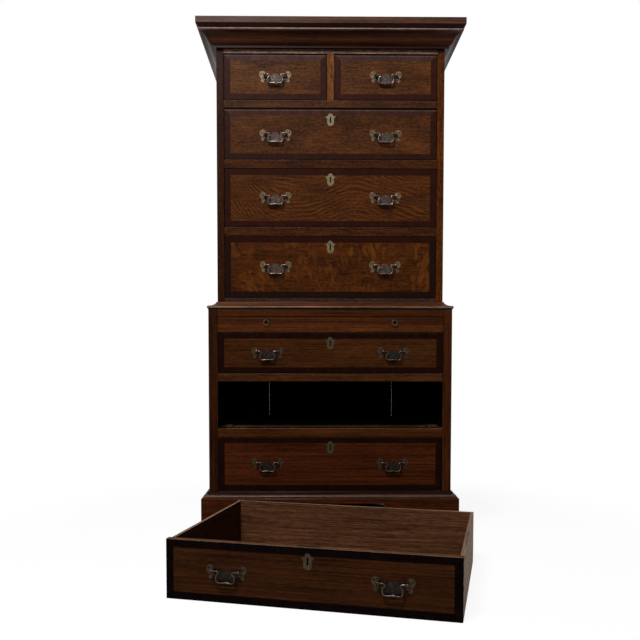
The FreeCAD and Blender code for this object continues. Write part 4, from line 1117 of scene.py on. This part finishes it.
# From a pin to the grip: out from the middle, up, and how round the corner is, in millimetres.
HALF = [(41.5, 0, 0), (14.5, 0, 4.5), (27.0, -14.0, 8.0), (25.0, -31.6, 9.0), (12.0, -31.0, 20.0)]
LINE = [(-x, z, r) for x, z, r in HALF] + [(0.0, -29.8, 40.0)] + HALF[::-1]
steps = [(i, i + 1) for i in range(len(LINE) - 1)]
count = 0
for drawer in DRAWERS:
    metal_now = BAIL_UP if drawer.startswith(("upper", "short")) else BAIL_SHADED
    for label in ("_bail", "_bail_left", "_bail_right"):
        node = drawer + label
        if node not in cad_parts:
            continue
        low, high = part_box(node)
        mesh = grow(bail_tree, "Bail_" + node, [(x * MM, 0, z * MM) for x, z, r in LINE], {
            "Bar Radius": BAR, "Grip Swell": 0.18, "Grip Half Width": 20 * MM, "Metal": metal_now},
            steps, [r * MM for x, z, r in LINE])
        turn = -LOOSE_TURN if drawer == "loose" else 0
        mesh.transform(Matrix.Translation(((low.x + high.x) / 2, (low.y + high.y) / 2, high.z - BAR))
                       @ Matrix.Rotation(turn, 4, "Z"))
        piece = link_new(mesh.name, mesh)
        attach(piece, node)
        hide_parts(node)
        count += 1
print("bails:", count, "faces in one:", len(mesh.polygons))

# %% [markdown]
# ## Pins, screws and nails
# Escutcheons hang on two small brass pins, locks on four iron screws, and the back boards on nails with
# rough heads. All are one head on a list of points, turned to face away from the wood. A seed fixed per
# list gives each head its own spin, and each nail also a slightly different size, as hand-made ones have.

# %% The tree of driven heads
head_tree, given, made = new_tree("Driven heads", {
    "Head Radius": "Float", "Head Height": "Float", "Slot Width": "Float", "Facing": "Rotation",
    "Size Spread": "Float", "Seed": "Int", "Metal": "Material"})
radius, height, slot_width, seed, spread = (
    given.outputs[label] for label in ("Head Radius", "Head Height", "Slot Width", "Seed", "Size Spread"))
# A flattened ball is the head, and a bar across it cuts the slot, where there is one.
dome = add(head_tree, "GeometryNodeMeshUVSphere", {"Segments": 16, "Rings": 8, "Radius": radius})
flat = add(head_tree, "ShaderNodeMath", {0: height, 1: radius}, operation="DIVIDE")
flat = add(head_tree, "ShaderNodeCombineXYZ", {0: 1.0, 1: 1.0, 2: flat})
dome = add(head_tree, "GeometryNodeTransform", {"Geometry": dome, "Scale": flat})
wide = add(head_tree, "ShaderNodeMath", {0: radius, 1: 3.0}, operation="MULTIPLY")
size = add(head_tree, "ShaderNodeCombineXYZ", {0: slot_width, 1: wide, 2: height})
lift = add(head_tree, "ShaderNodeCombineXYZ", {2: height})
slit = add(head_tree, "GeometryNodeMeshCube", {"Size": size})
slit = add(head_tree, "GeometryNodeTransform", {"Geometry": slit, "Translation": lift})
cut = add(head_tree, "GeometryNodeMeshBoolean", {"Mesh 1": dome, "Mesh 2": slit}, operation="DIFFERENCE")
slotted = add(head_tree, "FunctionNodeCompare", {0: slot_width, 1: 0.0}, operation="GREATER_THAN")
head = add(head_tree, "GeometryNodeSwitch", {"Switch": slotted, "False": dome, "True": cut},
           input_type="GEOMETRY")
# Each head is spun and sized by chance, and turned so that it faces away from the wood.
spin = add(head_tree, "FunctionNodeRandomValue", {"Min": (0, 0, 0), "Max": (0, 0, 6.28), "Seed": seed},
           data_type="FLOAT_VECTOR")
spin = add(head_tree, "FunctionNodeEulerToRotation", {0: spin})
facing = add(head_tree, "FunctionNodeRotateRotation", {0: given.outputs["Facing"], 1: spin},
             rotation_space="LOCAL")
least = add(head_tree, "ShaderNodeMath", {0: 1.0, 1: spread}, operation="SUBTRACT")
most = add(head_tree, "ShaderNodeMath", {0: 1.0, 1: spread}, operation="ADD")
grown = add(head_tree, "FunctionNodeRandomValue", {2: least, 3: most, "Seed": seed}, data_type="FLOAT")
heads = add(head_tree, "GeometryNodeInstanceOnPoints", {
    "Points": given.outputs["Geometry"], "Instance": head, "Rotation": facing, "Scale": grown.outputs[1]})
heads = add(head_tree, "GeometryNodeRealizeInstances", {0: heads})
heads = add(head_tree, "GeometryNodeSetMaterial", {0: heads, "Material": given.outputs["Metal"]})
head_tree.links.new(heads.outputs[0], made.inputs[0])
print("nodes in the tree of driven heads:", len(head_tree.nodes))


# %% Driving them in
def drive(name, points, metal_now, body, radius, height, slit=0.0, spread=0.0, behind=False, turn=None):
    """Heads at points, facing the front or the back, as one piece that rides a body. Sizes are in
    millimetres, and the length of the name is the seed."""
    mesh = grow(head_tree, name, points, {
        "Head Radius": radius * MM, "Head Height": height * MM, "Slot Width": slit * MM,
        "Facing": (math.radians(-90 if behind else 90), 0, 0), "Size Spread": spread,
        "Seed": len(name), "Metal": metal_now})
    if turn:
        mesh.transform(turn)
    mesh.shade_smooth()
    mesh.set_sharp_from_angle(angle=math.radians(40))
    piece = link_new(name, mesh)
    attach(piece, body)
    print(name, len(points))


# %% Pins of the escutcheons, screws of the locks
PIN_HEAD = (1.9, 0.9)            # radius and height,
SCREW_HEAD = (3.4, 0.8, 0.9)     # and the width of the slot
BADGE_DOWN = 37          # the middle of an escutcheon lies this far under the front's upper edge
PINS = (16.0, -18.5)     # its pins sit over and under that
BADGE_FACE = 1.2         # this far out from the front
SCREWS_OUT = 26          # the screws of a lock, to both sides of its middle
SCREWS_DOWN = (9, 45)    # and under the front's upper edge
LOCK_FACE = 20           # this far back from the front

for drawer in DRAWERS:
    if drawer.startswith("short"):
        continue
    low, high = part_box(drawer + "_front")
    loose = drawer == "loose"
    x, y = (LOOSE_PIVOT.x, LOOSE_PIVOT.y) if loose else ((low.x + high.x) / 2, low.y)
    turn = STRAIGHTEN.inverted() if loose else None
    badge = high.z - BADGE_DOWN * MM
    pins = [(x, y - BADGE_FACE * MM, badge + up * MM) for up in PINS]
    screws = [(x + side * SCREWS_OUT * MM, y + LOCK_FACE * MM, high.z - down * MM)
              for side in (-1, 1) for down in SCREWS_DOWN]
    drive("Pins_" + drawer, pins, SCUTCHEON if drawer.startswith("upper") else SCUTCHEON_SHADED,
          drawer + "_drawer", *PIN_HEAD, turn=turn)
    drive("Lock_screws_" + drawer, screws, IRON, drawer + "_drawer", *SCREW_HEAD, behind=True, turn=turn)

# %% [markdown]
# ## Nails of the back
# A back board is nailed at its top, middle and bottom, on both sides of each joint. The nails were set by
# eye, so each is moved sideways by up to two millimetres. Their heads make the chest about a millimetre
# deeper than its boards.

# %% Nails of the back
NAIL_HEAD = (3.2, 0.9)   # radius and height
ASTRAY = 2               # how far a nail may sit from where it was meant to
JOINTS = (-253.6, -74.6, 104.4, 283.4)   # where the back boards meet, in millimetres
BESIDE = (-16, 16)       # the nails on both sides of a joint
AT_SIDES = 14            # and in from the outer edges
AT_ENDS = 22             # the rows of nails at the top and the bottom
for case in ("lower", "upper"):
    low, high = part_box(case + "_back_boards")
    places = [x + off for x in JOINTS for off in BESIDE] + [low.x / MM + AT_SIDES, high.x / MM - AT_SIDES]
    rows = [low.z / MM + AT_ENDS, 0.5 * (low.z + high.z) / MM, high.z / MM - AT_ENDS]
    nails = [(x * MM + random.uniform(-ASTRAY, ASTRAY) * MM, high.y, z * MM) for x in places for z in rows]
    drive("Nails_" + case, nails, IRON, "carcase", *NAIL_HEAD, spread=0.15, behind=True)

# %% [markdown]
# ## Studio
# A pale floor that fades into a white surround, one large soft lamp above and in front, and a weaker one
# from the other side. What the camera sees of the surround is white, while the object is lit at a plain
# level, so that its dark wood keeps its colour. A ray that comes to the floor or the surround straight
# from the camera, or by a mirror or through glass, is told from one that brings light, and finds white.

# %% Rays that are seen
def seen_directly(tree):
    """One on rays from the camera, also by a mirror or through glass, and nothing on all others."""
    path = add(tree, "ShaderNodeLightPath")
    seen = add(tree, "ShaderNodeMath", {
        0: path.outputs["Is Camera Ray"], 1: path.outputs["Is Glossy Ray"]}, operation="MAXIMUM")
    return add(tree, "ShaderNodeMath", {0: seen, 1: path.outputs["Is Transmission Ray"]}, operation="MAXIMUM")


# %% Floor
FLOOR = 14.0             # half the floor's width
DROP = 0.6 * MM          # the floor lies this far under the feet, so that no face meets it

floor_mesh = bpy.data.meshes.new("Floor")
floor_bm = bmesh.new()
bmesh.ops.create_grid(floor_bm, x_segments=1, y_segments=1, size=FLOOR)
floor_bm.to_mesh(floor_mesh)
floor_bm.free()
floor = link_new("Floor", floor_mesh)
floor.location.z = -DROP
print("floor:", 2 * FLOOR, "m wide")

# %% Floor finish
FADE = (0.9, 1.6)        # the floor fades into the surround between these distances from the middle
NEAR_GLOW = 0.92         # but most of it glows already near the chest
CHEST_MIDDLE = (0, 0.29, 0)      # the middle of the chest's foot, in metres
CHEST_REACH = (2.35, 3.3, 0)     # one over half the painted shadow under the chest, sideways and deep
REAR_EDGE = 0.24         # from this far behind its middle the patch is drawn out,
REAR_SOFT = 0.2          # so that distances count only by this share

material, tree, out = new_material("studio floor")
where = add(tree, "ShaderNodeTexCoord").outputs["Object"]
away = add(tree, "ShaderNodeVectorMath", {0: where}, operation="LENGTH")
far = add(tree, "ShaderNodeMapRange", {
    0: away.outputs["Value"], 1: FADE[0], 2: FADE[1], 3: NEAR_GLOW, 4: 1.0}, interpolation_type="SMOOTHSTEP")
# Under the chest hardly any light arrives, so its shadow is painted on the floor, and it runs out softly on
# the side away from the lamps.
below = add(tree, "ShaderNodeVectorMath", {0: where, 1: CHEST_MIDDLE}, operation="SUBTRACT")
below = add(tree, "ShaderNodeSeparateXYZ", {0: below})
rear = add(tree, "ShaderNodeMath", {
    0: below.outputs[1], 1: REAR_SOFT, 2: (1 - REAR_SOFT) * REAR_EDGE}, operation="MULTIPLY_ADD")
rear = add(tree, "ShaderNodeMath", {0: below.outputs[1], 1: rear}, operation="MINIMUM")
below = add(tree, "ShaderNodeCombineXYZ", {0: below, 1: rear})
below = add(tree, "ShaderNodeVectorMath", {0: below, 1: CHEST_REACH}, operation="MULTIPLY")
# Squared twice and added up, the two distances make an oblong with round corners, like the chest's foot.
below = add(tree, "ShaderNodeVectorMath", {0: below, 1: below}, operation="MULTIPLY")
below = add(tree, "ShaderNodeVectorMath", {0: below, 1: below}, operation="MULTIPLY")
below = add(tree, "ShaderNodeVectorMath", {0: below, 1: (1, 1, 0)}, operation="DOT_PRODUCT")
lit = add(tree, "ShaderNodeMapRange", {0: below.outputs["Value"], 1: 0.6, 2: 1.2, 3: 0.0, 4: 1.0},
          interpolation_type="SMOOTHSTEP")
far = add(tree, "ShaderNodeMath", {0: far, 1: lit}, operation="MULTIPLY")
grey = add(tree, "ShaderNodeVectorMath", {0: linear("F8F8F8")[:3], "Scale": lit}, operation="SCALE")
pale = add(tree, "ShaderNodeBsdfDiffuse", {"Color": grey})
dim = add(tree, "ShaderNodeBsdfDiffuse", {"Color": linear("A0A0A0")})
glow = add(tree, "ShaderNodeEmission", {"Color": (1, 1, 1, 1), "Strength": 1.0})
looks = add(tree, "ShaderNodeMixShader", {0: far, 1: pale, 2: glow})
mixed = add(tree, "ShaderNodeMixShader", {0: seen_directly(tree), 1: dim, 2: looks})
tree.links.new(mixed.outputs[0], out.inputs[0])
floor_mesh.materials.append(material)
print("the floor fades from", FADE[0], "to", FADE[1], "m")

# %% [markdown]
# ## Lamps and surround
# The key lamp hangs high in front, a little to the left, and is large, so that the mouldings throw soft
# shadows. The fill lamp is so weak that it only opens the dark side. The surround adds light from the
# horizon, least of it from above and behind, because a room has a dark ceiling and a wall.

# %% Lamps
def lamp(name, place, aim, size, power):
    """A square area lamp that looks at a point."""
    data = bpy.data.lights.new(name, "AREA")
    data.shape = "SQUARE"
    data.size = size
    data.energy = power
    thing = link_new(name, data)
    thing.location = place
    thing.rotation_euler = (Vector(aim) - Vector(place)).to_track_quat("-Z", "Y").to_euler()
    return thing


key = lamp("Key", (-0.9, -2.4, 3.7), (0, 0, 1.1), 1.1, 205)
fill = lamp("Fill", (2.4, -2.4, 1.4), (0, 0, 0.8), 1.8, 4)
print("the key lamp is", key.data.energy / fill.data.energy, "times as strong as the fill")

# %% Surround
HORIZON, CEILING = 0.24, 0.06    # light from the horizon and from above
BEHIND = 0.45            # the share of it that comes from behind the chest

world = bpy.data.worlds.new("Surround")
bpy.context.scene.world = world
world.use_nodes = True
tree = world.node_tree
tree.nodes.clear()
out = tree.nodes.new("ShaderNodeOutputWorld")
# Light from the surround is strongest at the horizon and weak from the ceiling and from behind.
parts = add(tree, "ShaderNodeSeparateXYZ", {0: add(tree, "ShaderNodeTexCoord").outputs["Generated"]})
height = add(tree, "ShaderNodeMapRange", {
    0: parts.outputs["Z"], 1: 0.0, 2: 0.8, 3: HORIZON, 4: CEILING}, interpolation_type="SMOOTHSTEP")
behind = add(tree, "ShaderNodeMapRange", {
    0: parts.outputs["Y"], 1: -0.2, 2: 0.9, 3: 1.0, 4: BEHIND}, interpolation_type="SMOOTHSTEP")
strength = add(tree, "ShaderNodeMath", {0: height, 1: behind}, operation="MULTIPLY")
soft = add(tree, "ShaderNodeBackground", {"Color": (1, 1, 1, 1), "Strength": strength})
white = add(tree, "ShaderNodeBackground", {"Color": (1, 1, 1, 1), "Strength": 1.0})
both = add(tree, "ShaderNodeMixShader", {0: seen_directly(tree), 1: soft, 2: white})
tree.links.new(both.outputs[0], out.inputs[0])
bpy.context.scene.view_settings.view_transform = "Standard"
print("surround:", world.name)

# %% [markdown]
# ## Camera
# It stands 2.7 metres in front of the chest and 0.68 metres over the floor, as someone kneeling would
# hold it, and looks down by not quite three degrees. Its picture is shifted upwards, so that the whole
# height fits without tilting the camera up, which would make the sides of the chest lean together.

# %% Camera
EYE = (-0.0652, -2.7144, 0.6765)
DOWN, ROLL, ASIDE = 2.7976, 0.05, 0.5886     # in degrees: looking down, leaning, and turned to the right
camera_data = bpy.data.cameras.new("Camera")
camera_data.sensor_width = 36
camera_data.lens = 42.49
camera_data.shift_y = 0.10895
camera = link_new("Camera", camera_data)
camera.location = EYE
camera.rotation_euler = (math.radians(90 - DOWN), math.radians(-ROLL), math.radians(-ASIDE))
bpy.context.scene.camera = camera
print("angle of view:", round(math.degrees(camera_data.angle), 1), "degrees")
